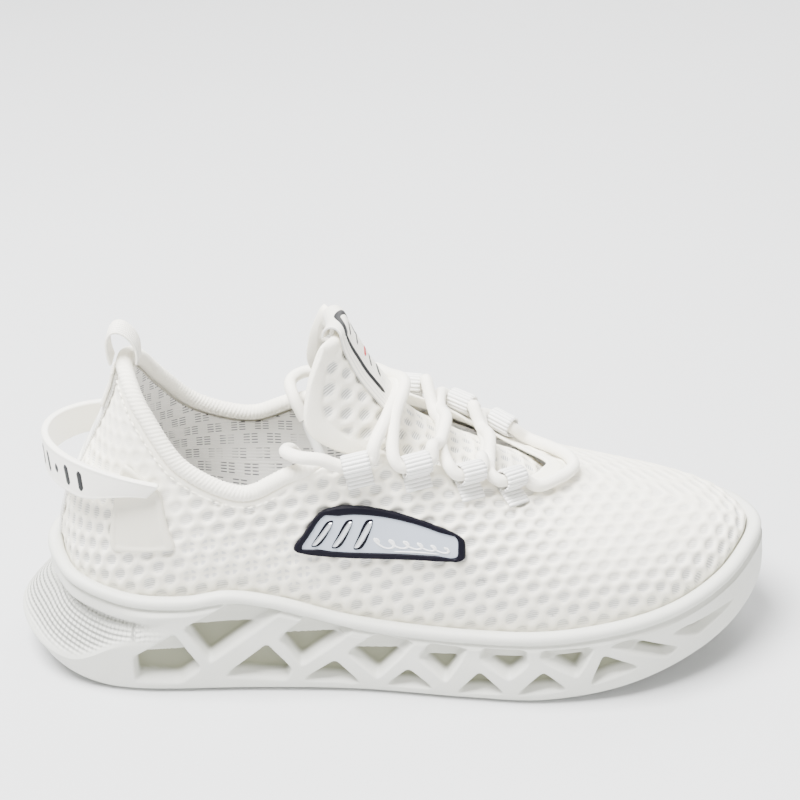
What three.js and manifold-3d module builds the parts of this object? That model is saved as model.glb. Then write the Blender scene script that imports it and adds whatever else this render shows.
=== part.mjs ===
// A right running shoe in separate pieces: moulded lattice sole, knit upper, tongue, lace and trims.
// Millimetres. +X runs from heel to toe, -Y is the outer (lateral) side, +Z is up.
// The sole stands on z = 0.
import * as THREE from "three";
import { mergeVertices } from "three/addons/utils/BufferGeometryUtils.js";
import Module from "manifold-3d";

const wasm = await Module();
wasm.setup();

// Overall sizes
const length = 300;
const width = 108;
const soleHeight = 49; // top of the bead at the back of the heel
const upperRise = 1; // height of the upper over the bead, as a factor of the last's own height

// Fits
const gap = 0.3; // between pieces that are glued, welded or sewn together
const layerGap = 0.4; // between the layers of the upper
const seatGap = 0.6; // under pieces that lie on a curved seat

// Sole
const beadWidth = 5; // rounded bead round the top edge
const recessDepth = 2.2; // hollow under the sole that holds the rubber pads
const padInset = 12;
const padGap = 0.6; // between a pad and the edge of its recess
const padThickness = 1.9;
const pocketDepth = 5.8;
const pocketDraft = 0.72; // size of a pocket's floor against its mouth
const boardThickness = 1.5;
const linerThickness = 4;
const boardInset = 1.1; // clear of the lining, all round
const linerInset = 1.5;
const linerEdge = 0.9; // the liner's lower edge is rounded off by this much

// Upper
const knitThickness = 1.4;
const stiffenerThickness = 0.8;
const liningThickness = 0.8;
const bindingRadius = 2.8;
const bindingSeat = 0.8; // clear of the upper's curved edge
const tapeThickness = 1;
const ribbonThickness = 1.1;
const tongueThickness = 5;
const foldRow = 4.42; // where the free part of the tongue starts, in rows of its table
const foldGap = 0.017; // half the hinge line's width, in rows
const tongueTop = 6.98; // last row of the tongue's padding
const tongueRibbonWidth = 22;

// Heel loop and strap
const loopWidth = 11;
const loopReach = 14; // height of the loop over the middle of the collar binding
const loopHalfSpan = 8;
const loopFoot = 4.6; // half the span where the loop leaves the collar binding
const strapHeight = 14;
const strapThickness = 1.8;
const strapBack = -133; // rearmost line of the strap's middle
const strapRise = 6.5; // how much higher the strap is at the back than at its ends
const patchThickness = 1;
const strapClearance = 0.5; // between a patch and the strap's end

// Lace
const laceRadius = 2.4;
const laceSides = 8;
const laceRun = laceRadius - 0.5; // the lace goes straight on past a tab by this much
const laceLeave = { forward: laceRadius, up: laceRadius * 1.75 }; // then turns towards the tongue
const tabWidth = 10;
const tabTail = 8;
const tabWall = 1;
const tabBore = laceRadius + 0.85;
const tabOuter = tabBore + tabWall;
const tabDrop = 1.5; // middle of the bore under the throat's edge
const agletRadius = 1.9;
const agletLength = 18;

// Badge
const badgeBorder = { along: 0.13, across: 0.3 }; // share of the badge taken by its raised border
const badgeBaseThickness = 1.2;
const badgeInlayThickness = 0.6;
const badgeBarThickness = 0.8;

// Shape tables. Plan points are drawn for a shoe 300 long and 108 wide, and scaled to the sizes above.
const lengthScale = length / 300;
const widthScale = width / 108;
const soleScale = soleHeight / 49;

// Sole outline from heel tip to toe tip: x, then y on the lateral side, and the same for the medial side
const lateralPlan = [
  [-150, 0], [-143, -22], [-127, -36], [-100, -42.5], [-55, -43], [-15, -45],
  [25, -51], [55, -54], [88, -50.5], [116, -38.5], [137, -20.5], [150, 4],
];
const medialPlan = [
  [-143, 22], [-125, 36.5], [-95, 42], [-50, 37], [-10, 37.5],
  [30, 47], [65, 54], [100, 52], [128, 42], [144, 26],
];
const plan = [...lateralPlan, ...medialPlan.reverse()].map(([x, y]) => [
  x * lengthScale,
  y * widthScale,
]);
const stations = plan.length; // stations are numbered from the heel tip round the lateral side
const toe = lateralPlan.length - 1;

// Heights along the sole: x, z
const beadHeights = [
  [-150, 49], [-136, 48.5], [-120, 46], [-100, 42.5], [-80, 42.5], [-64, 45], [-45, 42], [-20, 34.5],
  [5, 31.5], [55, 31.5], [85, 34], [110, 36.5], [130, 41], [143, 45], [150, 46],
];
const footHeights = [[-150, 32], [-100, 30], [-60, 27], [0, 21], [50, 20], [100, 23], [150, 29]];
const flareHeights = [[-150, 19], [-128, 14], [-118, 17], [-100, 28], [-84, 37], [-60, 38]];
// How far the bead stands inside the sole's outline: x, inset
const beadInsets = [
  [-150, 14], [-140, 12], [-127, 8], [-110, 5],
  [-85, 3], [-60, 2.5], [130, 2.5], [150, 3],
];
const toeSpring = { from: 50, to: 150, rise: 18, power: 1.6 };
const heelSpring = { from: -108, to: -150, rise: 15, power: 2 };
const flareFade = { from: -118, to: -84 }; // the heel's flared section runs into the plain wall here

// Opening of the upper for each station: x, y, z, then how far the wall leaves the sole (out, up) and
// comes back to the opening (out, down)
const lateralOpening = [
  [-103, 0, 121, 1, 22, 3, 18],
  [-101, -10, 118, 1, 22, 3, 18],
  [-95, -20, 108, 1, 20, 3, 17],
  [-81, -28.5, 90.5, 2, 16, 2, 14],
  [-56, -31.5, 78.5, 2, 12, 2, 11],
  [-36, -30, 92, 3, 16, 3, 16],
  [-12, -27.5, 97, 3, 20, 7, 18],
  [14, -25, 91, 2, 22, 13, 16],
  [38, -19.5, 80, 1, 20, 18, 11],
  [52, -10.5, 76.5, 1, 16, 27, 13],
  [58, -4, 76.5, 1, 12, 36, 15],
  [60, 0, 76.5, 0, 10, 42, 16],
];
const medialOpening = lateralOpening.slice(1, toe).map((row) => row.with(1, -row[1]));
medialOpening[1][2] = 106; // the inner side of the collar is cut a little differently
medialOpening[2][2] = 89;
medialOpening[3][2] = 81;
const opening = [...lateralOpening, ...medialOpening.reverse()].map(
  ([x, y, z, out1, up, out2, down]) => [
    x * lengthScale,
    y * widthScale,
    z * upperRise,
    out1,
    up * upperRise,
    out2,
    down * upperRise,
  ],
);
const collarEnd = 5; // the collar runs from this station round the heel to its twin

// Tongue's middle line from under the vamp to its top: x, z, half width, then how far each edge wraps
// back and down
const tongueRows = [
  [70, 60, 13, 1, 3],
  [56, 71.5, 14.5, 1, 3.5],
  [40, 79.5, 18, 3, 7],
  [22, 88, 22, 6, 9],
  [6, 100, 24, 13, 10.5],
  [-8, 118.5, 27.5, 22, 13.5],
  [-14, 129, 24, 17, 8],
  [-19, 138, 17, 3, 0],
].map(([x, z, half, back, down]) => [
  x * lengthScale,
  z * upperRise,
  half * widthScale,
  back * lengthScale,
  down * upperRise,
]);

// Pockets in the sole's side wall: corner points x, z, in two rows of struts
const pockets = [
  [[-101, 6], [-84, 5], [-76, 12], [-85, 27], [-101, 17]],
  [[-72, 15], [-44, 37], [-63, 40.5], [-81, 30]],
  [[-66, 8], [-43, 6], [-41, 11], [-50, 22]],
  [[-37, 13], [-17, 29], [-35, 34], [-45, 25]],
  [[-36, 6], [-15, 5], [-24, 15]],
  [[-8, 8], [6, 25], [-9, 27], [-19, 19]],
  [[-4, 5], [13, 5], [4, 13]],
  [[18, 9], [26, 24], [12, 25], [8, 19]],
  [[23, 4], [40, 5], [31, 14]],
  [[42, 12], [49, 19], [48, 24.5], [32, 24.5], [31, 20]],
  [[46, 5], [64, 7], [55, 15]],
  [[68, 13], [74, 25], [54, 24.5], [54, 21]],
  [[74, 9], [92, 14], [78, 21]],
  [[104, 15], [108, 18], [89, 27], [80, 25]],
  [[117, 20], [133, 28], [105, 25]],
];

// Trims on the upper, as corners in (station, share of the way up):
// rear foot, front foot, front top, rear top
const patchCorners = [[2.55, 0.27], [3.32, 0.45], [2.8, 0.8], [1.95, 0.72]];
const badgeCorners = [[4.43, 0.49], [6.5, 0.42], [6.89, 0.6], [5.22, 0.79]];
const badgeBars = [[4.86, 0.565], [5.1, 0.55], [5.34, 0.535]]; // foot of each raised bar
const badgeBar = { wide: 0.11, lean: 0.32, tall: 0.105 };
const tabStations = [5.87, 6.68, 7.42, 8.15]; // top tab first
const tabRows = [4.3, 3.5, 2.7, 1.9]; // the tongue's row beside each tab
const barStations = [8.75, 9.6, 10.4, 11, 11.6, 12.4, 13.25]; // the lace's bar round the throat's front
const laceTuck = [[-29, 33.5, 102], [-36.5, 33, 103.5], [-41.5, 27, 102], [-39, 19.5, 97], [-35, 16, 88]];

const colours = {
  sole: 0xd9dad3,
  rubber: 0xcfd0c8,
  knit: 0xf6f5ef,
  lining: 0xd2d0cb,
  board: 0xcbbfa6,
  foam: 0xe8e8e4,
  webbing: 0xf4f3ee,
  strap: 0xedebe2,
  dark: 0x1a1833,
  inlay: 0xb5bcc8,
  silver: 0xc9ccd0,
};
const root = new THREE.Group();

// Curves and tables
function catmull(p0, p1, p2, p3, f) {
  const a = 3 * p1 - p0 - 3 * p2 + p3;
  const b = 2 * p0 - 5 * p1 + 4 * p2 - p3;
  return 0.5 * (2 * p1 + (p2 - p0) * f + b * f * f + a * f * f * f);
}

function ringAt(table, t, column) {
  const n = table.length;
  const i = Math.floor(t);
  const value = (k) => table[(((i + k) % n) + n) % n][column];
  return catmull(value(-1), value(0), value(1), value(2), t - i);
}

function rowAt(table, t, column) {
  const last = table.length - 1;
  const i = Math.min(Math.max(Math.floor(t), 0), last - 1);
  const value = (k) => table[Math.min(Math.max(i + k, 0), last)][column];
  return catmull(value(-1), value(0), value(1), value(2), t - i);
}

// Height or inset at x from a table of [x, value], as a smooth curve through its points
function along(table, xAtSize) {
  const last = table.length - 1;
  const x = Math.min(Math.max(xAtSize / lengthScale, table[0][0]), table[last][0]);
  const i = Math.min(Math.max(table.findIndex((row) => row[0] > x) - 1, 0), last - 1);
  const k = x >= table[last][0] ? last - 1 : i;
  const slope = (j) => {
    const a = table[Math.max(j - 1, 0)];
    const b = table[Math.min(j + 1, last)];
    return (b[1] - a[1]) / (b[0] - a[0]);
  };
  const h = table[k + 1][0] - table[k][0];
  const f = (x - table[k][0]) / h;
  const g = f * f * (3 - 2 * f);
  const bend = slope(k) * (f - 2 * f * f + f ** 3) + slope(k + 1) * (f ** 3 - f * f);
  return table[k][1] * (1 - g) + table[k + 1][1] * g + bend * h;
}

function spring({ from, to, rise, power }, x) {
  const f = (x / lengthScale - from) / (to - from);
  return f <= 0 ? 0 : rise * Math.min(f, 1) ** power;
}

function fade({ from, to }, x) {
  const f = Math.min(Math.max((x / lengthScale - from) / (to - from), 0), 1);
  return 1 - f * f * (3 - 2 * f);
}

const soleBottom = (x) => (spring(toeSpring, x) + spring(heelSpring, x)) * soleScale;
const beadTop = (x) => along(beadHeights, x) * soleScale;
const footTop = (x) => along(footHeights, x) * soleScale;
const beadInset = (x) => along(beadInsets, x) * widthScale;
const cupInset = (x) => beadInset(x) + beadWidth;

// Point of the sole's outline at a station, and the direction out of it
function outline(t) {
  const step = 0.02;
  const point = new THREE.Vector3(ringAt(plan, t, 0), ringAt(plan, t, 1), 0);
  const dx = ringAt(plan, t + step, 0) - ringAt(plan, t - step, 0);
  const dy = ringAt(plan, t + step, 1) - ringAt(plan, t - step, 1);
  const out = new THREE.Vector3(dy, -dx, 0).normalize();
  return { point, out };
}

function insetPoint(t, inset, z) {
  const { point, out } = outline(t);
  return new THREE.Vector3(point.x - out.x * inset, point.y - out.y * inset, z);
}

// The upper's outer face: t is the station, v runs from 0 at the bead to 1 at the opening, and from 0
// down to -1 inside the sole's cup
function skin(t, v) {
  const { point, out } = outline(t);
  const foot = insetPoint(t, cupInset(point.x) + gap, beadTop(point.x) - 1.5);
  if (v < 0) {
    foot.z += (footTop(point.x) + gap - foot.z) * -v;
    return foot;
  }
  const q = (column) => ringAt(opening, t, column);
  const up = new THREE.Vector3(0, 0, 1);
  const leave = foot.clone().addScaledVector(out, q(3)).addScaledVector(up, q(4));
  const top = new THREE.Vector3(q(0), q(1), q(2));
  const arrive = top.clone().addScaledVector(out, q(5)).addScaledVector(up, -q(6));
  const w = 1 - v;
  return foot
    .multiplyScalar(w ** 3)
    .addScaledVector(leave, 3 * v * w * w)
    .addScaledVector(arrive, 3 * v * v * w)
    .addScaledVector(top, v ** 3);
}

// Directions on the upper: along it (towards the next station), up it, and out of it
function skinFrame(t, v) {
  const step = 0.01;
  const low = v < 0 ? v : Math.max(v - step, 0);
  const ahead = skin(t + step, v).sub(skin(t - step, v)).normalize();
  const rise = new THREE.Vector3(0, 0, 1);
  if (v >= 0) rise.subVectors(skin(t, v + step), skin(t, low)).normalize();
  const out = ahead.clone().cross(rise).normalize();
  rise.crossVectors(out, ahead);
  return { ahead, rise, out };
}

function onSkin(t, v, offset) {
  return skin(t, v).addScaledVector(skinFrame(t, v).out, offset);
}

// The tongue's outer face: row along its table, w from -1 at the lateral edge to 1 at the medial edge
function tongueFace(row, w) {
  const q = (column) => rowAt(tongueRows, row, column);
  return new THREE.Vector3(q(0) - q(3) * w * w, q(2) * w, q(1) - q(4) * w * w);
}

function onTongue(row, w, offset) {
  const step = 0.01;
  const upward = tongueFace(row + step, w).sub(tongueFace(row - step, w));
  const across = tongueFace(row, w + step).sub(tongueFace(row, w - step));
  return tongueFace(row, w).addScaledVector(across.cross(upward).normalize(), offset);
}

// Solids
function closedGeometry(points, triangles) {
  const geometry = new THREE.BufferGeometry();
  const flat = points.flatMap((p) => p.toArray());
  geometry.setAttribute("position", new THREE.Float32BufferAttribute(flat, 3));
  let volume = 0;
  for (const [a, b, c] of triangles) volume += points[a].dot(points[b].clone().cross(points[c]));
  const faces = volume < 0 ? triangles.map(([a, b, c]) => [a, c, b]) : triangles;
  geometry.setIndex(faces.flat());
  return geometry;
}

// A sheet with thickness: inner and outer are functions of (a, b), each from 0 to 1, and columns and
// rows are the steps. A closed sheet joins its last column to its first.
function sheetSolid(inner, outer, columns, rows, closed = false) {
  const across = closed ? columns : columns + 1;
  const points = [];
  for (const face of [outer, inner])
    for (let i = 0; i < across; i++)
      for (let j = 0; j <= rows; j++) points.push(face(i / columns, j / rows));
  const side = across * (rows + 1);
  const at = (face, i, j) => face * side + (i % across) * (rows + 1) + j;
  const triangles = [];
  const quad = (a, b, c, d) => triangles.push([a, b, c], [a, c, d]);
  for (let i = 0; i < columns; i++) {
    for (let j = 0; j < rows; j++) {
      quad(at(0, i, j), at(0, i + 1, j), at(0, i + 1, j + 1), at(0, i, j + 1));
      quad(at(1, i, j), at(1, i, j + 1), at(1, i + 1, j + 1), at(1, i + 1, j));
    }
    quad(at(1, i, 0), at(1, i + 1, 0), at(0, i + 1, 0), at(0, i, 0));
    quad(at(0, i, rows), at(0, i + 1, rows), at(1, i + 1, rows), at(1, i, rows));
  }
  if (!closed)
    for (let j = 0; j < rows; j++) {
      quad(at(0, 0, j), at(0, 0, j + 1), at(1, 0, j + 1), at(1, 0, j));
      quad(at(0, columns, j + 1), at(0, columns, j), at(1, columns, j), at(1, columns, j + 1));
    }
  return closedGeometry(points, triangles);
}

// A solid through rings of points round the foot, each from the heel tip, closed across by strips
function ringSolid(rings) {
  const n = rings[0].length;
  const points = rings.flat();
  const triangles = [];
  for (let k = 0; k + 1 < rings.length; k++)
    for (let i = 0; i < n; i++) {
      const a = k * n + i;
      const b = k * n + ((i + 1) % n);
      triangles.push([a, b, b + n], [a, b + n, a + n]);
    }
  const ends = [[0, true], [(rings.length - 1) * n, false]];
  for (const [base, flip] of ends)
    for (let i = 0; i < n / 2; i++) {
      const far = (n - i) % n;
      const strip = [[i, i + 1, n - i - 1], [i, n - i - 1, far]];
      for (const [a, b, c] of strip) {
        if (a === b || b === c || a === c) continue;
        triangles.push(flip ? [base + a, base + c, base + b] : [base + a, base + b, base + c]);
      }
    }
  return closedGeometry(points, triangles);
}

function toManifold(geometry) {
  const bare = geometry.clone();
  bare.deleteAttribute("normal");
  bare.deleteAttribute("uv");
  const merged = mergeVertices(bare, 1e-4);
  const vertProperties = merged.attributes.position.array;
  const triVerts = new Uint32Array(merged.index.array);
  return new wasm.Manifold(new wasm.Mesh({ numProp: 3, vertProperties, triVerts }));
}

function fromManifold(solid) {
  const mesh = solid.getMesh();
  const geometry = new THREE.BufferGeometry();
  geometry.setAttribute("position", new THREE.BufferAttribute(mesh.vertProperties, 3));
  geometry.setIndex(new THREE.BufferAttribute(mesh.triVerts, 1));
  return geometry;
}

function add(name, geometry, color, roughness = 0.8, metalness = 0) {
  const mesh = new THREE.Mesh(geometry, new THREE.MeshStandardMaterial({ color, roughness, metalness }));
  mesh.name = name;
  root.add(mesh);
  return mesh;
}

// Sole: section of the wall at a station as [inset, z], from the recess underneath to the foot's bed.
// Each pair is the plain wall and the heel's flared one.
function soleSection(t) {
  const { point } = outline(t);
  const low = soleBottom(point.x);
  const high = beadTop(point.x);
  const tall = high - low;
  const inset = beadInset(point.x);
  const flare = along(flareHeights, point.x) * soleScale;
  const heel = fade(flareFade, point.x);
  const mix = (plain, flared) => [
    plain[0] + (flared[0] - plain[0]) * heel,
    plain[1] + (flared[1] - plain[1]) * heel,
  ];
  return [
    [padInset - padGap, low + recessDepth],
    [padInset - padGap, low],
    mix([3.2, low + 0.5], [4, low + 0.7]),
    mix([0.8, low + 3.2], [1.2, low + 3.6]),
    mix([0, low + tall * 0.28], [0, flare - 1.5]),
    mix([0.3, low + tall * 0.48], [1, flare + 0.8]),
    mix([0.8, low + tall * 0.62], [inset + 2.2, high - 13.5]),
    mix([1.1, low + tall * 0.7], [inset + 2.6, high - 11.5]),
    mix([1.4, low + tall * 0.78], [inset + 0.6, high - 9.8]),
    mix([inset - 0.4, high - 5.4], [inset + 0.8, high - 5.2]),
    [inset - 1, high - 3.4],
    [inset - 0.2, high - 1.2],
    [inset + 1.8, high],
    [inset + 3.8, high - 0.9],
    [cupInset(point.x), high - 3],
    [cupInset(point.x), footTop(point.x)],
  ];
}

function stationAtX(x, side) {
  let [a, b] = side < 0 ? [0, toe] : [stations, toe];
  for (let i = 0; i < 40; i++) {
    const middle = (a + b) / 2;
    if (outline(middle).point.x < x) a = middle;
    else b = middle;
  }
  return (a + b) / 2;
}

function pocketTool(corners, side) {
  const middleX = corners.reduce((sum, c) => sum + c[0], 0) / corners.length;
  const middleZ = (corners.reduce((sum, c) => sum + c[1], 0) / corners.length) * soleScale;
  const { point: middle, out } = outline(stationAtX(middleX * lengthScale, side));
  const mouth = corners.map(([x, z]) => {
    const { point } = outline(stationAtX(x * lengthScale, side));
    return new THREE.Vector3(point.x, point.y, z * soleScale);
  });
  const centre = new THREE.Vector3(middle.x, middle.y, middleZ);
  const floor = mouth.map((p) => p.clone().sub(centre).multiplyScalar(pocketDraft).add(centre));
  const reach = 1 + (1 - pocketDraft) / 2; // the mouth grows on as it leaves the wall
  const open = mouth.map((p) => p.clone().sub(centre).multiplyScalar(reach).add(centre));
  open.forEach((p) => p.addScaledVector(out, pocketDepth / 2));
  floor.forEach((p) => p.addScaledVector(out, -pocketDepth));
  const n = corners.length;
  const triangles = [];
  for (let i = 0; i < n; i++) {
    const j = (i + 1) % n;
    triangles.push([i, j, n + j], [i, n + j, n + i]);
  }
  for (let i = 1; i + 1 < n; i++) triangles.push([0, i + 1, i], [n, n + i, n + i + 1]);
  return toManifold(closedGeometry([...open, ...floor], triangles));
}

function makeSole() {
  const columns = stations * 2;
  const sections = Array.from({ length: columns }, (_, i) => soleSection((i / columns) * stations));
  const rings = sections[0].map((_, k) =>
    sections.map((section, i) => insetPoint((i / columns) * stations, section[k][0], section[k][1])),
  );
  let sole = toManifold(ringSolid(rings));
  for (const corners of pockets)
    for (const side of [-1, 1]) sole = sole.subtract(pocketTool(corners, side));
  add("midsole", fromManifold(sole), colours.sole, 0.7);
}

// A plate over part of the foot's plan, between two heights that follow x
function plate(from, to, inset, low, high, columns, rows) {
  const face = (height) => (a, b) => {
    const t = from + (to - from) * a;
    const lateral = insetPoint(t, inset(outline(t).point.x), 0);
    const medial = insetPoint(stations - t, inset(outline(stations - t).point.x), 0);
    const p = lateral.lerp(medial, b);
    p.z = height(p.x);
    return p;
  };
  return sheetSolid(face(low), face(high), columns, rows);
}

function makePads() {
  const low = (x) => soleBottom(x);
  const high = (x) => soleBottom(x) + padThickness;
  const inset = () => padInset;
  add("outsole_heel", plate(0.8, 3.4, inset, low, high, 8, 4), colours.rubber, 0.9);
  add("outsole_forefoot", plate(5.6, 10.3, inset, low, high, 12, 4), colours.rubber, 0.9);
}

// Layers of the upper inside its outer face, as depths
const stiffenerDepth = knitThickness + layerGap;
const liningDepth = stiffenerDepth + stiffenerThickness + layerGap;
const innerDepth = liningDepth + liningThickness;

function makeInsoles() {
  const inset = (extra) => (x) => cupInset(x) + innerDepth + extra;
  const ring = (height, extra) =>
    Array.from({ length: stations * 2 }, (_, i) => {
      const t = i / 2;
      const x = outline(t).point.x;
      return insetPoint(t, inset(extra)(x), height(x));
    });
  const boardLow = (x) => footTop(x) + gap;
  const boardHigh = (x) => boardLow(x) + boardThickness;
  const linerLow = (x) => boardHigh(x) + gap;
  const linerHigh = (x) => linerLow(x) + linerThickness;
  const linerSide = (x) => linerLow(x) + linerEdge;
  const board = [ring(boardLow, boardInset), ring(boardHigh, boardInset)];
  const liner = [
    ring(linerLow, linerInset + linerEdge),
    ring(linerSide, linerInset),
    ring(linerHigh, linerInset),
  ];
  add("insole_board", ringSolid(board), colours.board, 0.9);
  add("sockliner", ringSolid(liner), colours.foam, 0.9);
}

// Every layer of the upper shares these columns and rows, so that the layers nest
const columnStep = 0.5;
const skinRows = [-1, -0.5, 0, 0.14, 0.28, 0.42, 0.56, 0.7, 0.82, 0.92, 1];

// Part of the upper between two depths, from station to station, through the given rows
function layer(from, to, rowsAt, depth, thickness) {
  const columns = Math.round((to - from) / columnStep);
  const rows = rowsAt(from).length - 1;
  const face = (offset) => (a, b) => {
    const t = from + (to - from) * a;
    return onSkin(t, rowsAt(t)[Math.round(b * rows)], offset);
  };
  return sheetSolid(face(-depth - thickness), face(-depth), columns, rows, to - from === stations);
}

function liningRows(t) {
  const fromHeel = Math.min(t, stations - t);
  const f = Math.min(Math.max((fromHeel - collarEnd) / 0.9, 0), 1);
  const top = 0.985 - 0.15 * f * f * (3 - 2 * f);
  return [...skinRows.filter((v) => v <= 0.7), (0.7 + top) / 2, top];
}

function makeUpper() {
  const stiffRows = skinRows.filter((v) => v > -1 && v < 0.5);
  const knit = layer(0, stations, () => skinRows, 0, knitThickness);
  const lining = layer(0, stations, liningRows, liningDepth, liningThickness);
  const counter = layer(-2.5, 2.5, () => stiffRows, stiffenerDepth, stiffenerThickness);
  const puffRows = stiffRows.slice(0, -1);
  const puff = layer(toe - 1.5, toe + 1.5, () => puffRows, stiffenerDepth, stiffenerThickness);
  add("upper", knit, colours.knit, 0.95);
  add("lining", lining, colours.lining, 0.95);
  add("heel_counter", counter, colours.foam, 0.7);
  add("toe_puff", puff, colours.foam, 0.7);
  const strip = [[-0.36, 0.04], [0.36, 0.04], [0.36, 0.95], [-0.36, 0.95]];
  add("heel_tape", patch(strip, gap, tapeThickness, 2, 8), colours.webbing, 0.85);
}

function circleShape(radius, sides) {
  const shape = new THREE.Shape();
  for (let i = 0; i < sides; i++) {
    const angle = (i / sides) * Math.PI * 2;
    const [x, y] = [radius * Math.cos(angle), radius * Math.sin(angle)];
    if (i === 0) shape.moveTo(x, y);
    else shape.lineTo(x, y);
  }
  shape.closePath();
  return shape;
}

function tube(points, radius, sides, cuts) {
  const extrudePath = new THREE.CatmullRomCurve3(points, false, "centripetal");
  extrudePath.getPointAt = (u) => extrudePath.getPoint(u); // rings stand on the points themselves
  extrudePath.getTangentAt = (u) => extrudePath.getTangent(u);
  const steps = cuts * (points.length - 1);
  return new THREE.ExtrudeGeometry(circleShape(radius, sides), { steps, extrudePath });
}

// Middle of the collar binding above the upper's edge
function bindingCentre(t) {
  const { rise, out } = skinFrame(t, 0.99);
  return skin(t, 1)
    .addScaledVector(out, -innerDepth / 2)
    .addScaledVector(rise, bindingRadius + bindingSeat);
}

function makeBinding() {
  const points = [];
  for (let t = -collarEnd; t <= collarEnd + 1e-6; t += 0.5) points.push(bindingCentre(t));
  add("collar_binding", tube(points, bindingRadius, 8, 2), colours.knit, 0.9);
}

// Pull loop at the heel: two sewn legs, and an arch that swings round the collar binding
const loopCentre = bindingCentre(0);

function makePullLoop() {
  const leg = [[-0.32, 0.76], [0.32, 0.76], [0.32, 0.93], [-0.32, 0.93]];
  const outer = patch(leg, 2 * gap + tapeThickness, ribbonThickness, 2, 3);
  const inner = patch(leg, -innerDepth - seatGap - ribbonThickness, ribbonThickness, 2, 3);
  add("heel_loop_leg_outer", outer, colours.webbing, 0.85);
  add("heel_loop_leg_inner", inner, colours.webbing, 0.85);
  const steps = 14;
  const middle = Array.from({ length: steps + 1 }, (_, i) => {
    const angle = (Math.PI * i) / steps;
    const height = Math.sin(angle);
    const spread = loopHalfSpan - (loopHalfSpan - loopFoot) * (1 - height) ** 2;
    return new THREE.Vector2(-spread * Math.cos(angle), (loopReach - ribbonThickness / 2) * height);
  });
  const side = (offset) =>
    middle.map((p, i) => {
      const run = middle[Math.min(i + 1, steps)].clone().sub(middle[Math.max(i - 1, 0)]).normalize();
      return new THREE.Vector2(p.x - run.y * offset, p.y + run.x * offset);
    });
  const half = ribbonThickness / 2;
  const shape = new THREE.Shape([...side(half), ...side(-half).reverse()]);
  const arch = new THREE.ExtrudeGeometry(shape, { depth: loopWidth, bevelEnabled: false });
  arch.translate(0, 0, -loopWidth / 2);
  arch.rotateX(Math.PI / 2);
  const mesh = add("heel_loop_arch", arch, colours.webbing, 0.85);
  mesh.position.copy(loopCentre);
}

// A patch on the upper over a four-cornered field, between two heights over the skin
function patch(corners, height, thickness, columns, rows) {
  const field = (a, b, k) => {
    const foot = corners[0][k] + (corners[1][k] - corners[0][k]) * a;
    const top = corners[3][k] + (corners[2][k] - corners[3][k]) * a;
    return foot + (top - foot) * b;
  };
  const face = (offset) => (a, b) => onSkin(field(a, b, 0), field(a, b, 1), offset);
  return sheetSolid(face(height), face(height + thickness), columns, rows);
}

const mirrored = (corners) => corners.map(([t, v]) => [stations - t, v]);

// Strap behind the heel: half an ellipse in plan, leaning with the upper at its ends
const strapEnds = [
  { t: 2.62, v: 0.71 },
  { t: stations - 2.62, v: 0.735 },
];
const strapStandOff = gap + patchThickness + strapClearance + strapThickness / 2;

// The strap's middle line and directions, from its lateral end at angle 0 to its medial end at pi
function strapFrame(angle) {
  const [lateral, medial] = strapEnds.map(({ t, v }) => onSkin(t, v, strapStandOff));
  const { t, v } = strapEnds[Math.cos(angle) < 0 ? 1 : 0];
  const middle = lateral.clone().lerp(medial, (1 - Math.cos(angle)) / 2);
  const back = Math.sin(angle);
  const reach = middle.x - strapBack * lengthScale;
  const half = (medial.y - lateral.y) / 2;
  const out = new THREE.Vector3(-half * back, -reach * Math.cos(angle), 0).normalize();
  const stand = skinFrame(t, v).rise.lerp(new THREE.Vector3(0, 0, 1), back).normalize();
  middle.x -= reach * back;
  middle.z += strapRise * back;
  out.addScaledVector(stand, -out.dot(stand)).normalize();
  return { middle, out, stand };
}

function makeStrap() {
  const face = (offset) => (a, b) => {
    const { middle, out, stand } = strapFrame(Math.PI * a);
    return middle.addScaledVector(out, offset).addScaledVector(stand, (b - 0.5) * strapHeight);
  };
  const half = strapThickness / 2;
  add("heel_strap", sheetSolid(face(-half), face(half), 24, 3), colours.strap, 0.45);
  const field = patch(patchCorners, gap, patchThickness, 6, 6);
  add("strap_patch_lateral", field, colours.strap, 0.4);
  const twin = patch(mirrored(patchCorners), gap, patchThickness, 6, 6);
  add("strap_patch_medial", twin, colours.strap, 0.4);
}

function makeBadge() {
  const centre = [0, 1].map((k) => badgeCorners.reduce((sum, c) => sum + c[k], 0) / badgeCorners.length);
  const inlay = badgeCorners.map(([t, v]) => [
    t + (centre[0] - t) * badgeBorder.along,
    v + (centre[1] - v) * badgeBorder.across,
  ]);
  const inlayHeight = 2 * gap + badgeBaseThickness;
  const barHeight = inlayHeight + badgeInlayThickness + gap;
  add("badge_base", patch(badgeCorners, gap, badgeBaseThickness, 10, 4), colours.dark, 0.5);
  add("badge_inlay", patch(inlay, inlayHeight, badgeInlayThickness, 10, 4), colours.inlay, 0.35);
  const { wide, lean, tall } = badgeBar;
  badgeBars.forEach(([t, v], i) => {
    const corners = [[t, v], [t + wide, v], [t + wide + lean, v + tall], [t + lean, v + tall]];
    const bar = patch(corners, barHeight, badgeBarThickness, 2, 3);
    add("badge_bar_" + (i + 1), bar, colours.silver, 0.3, 0.8);
  });
}

function makeTongue() {
  const padding = (from, to, steps) => {
    const face = (offset) => (a, b) => onTongue(from + (to - from) * a, 2 * b - 1, offset);
    return sheetSolid(face(-tongueThickness), face(0), steps, 8);
  };
  add("tongue_lower", padding(0.05, foldRow - foldGap, 12), colours.knit, 0.95);
  add("tongue_upper", padding(foldRow + foldGap, tongueTop, 9), colours.knit, 0.95);
}

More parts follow.
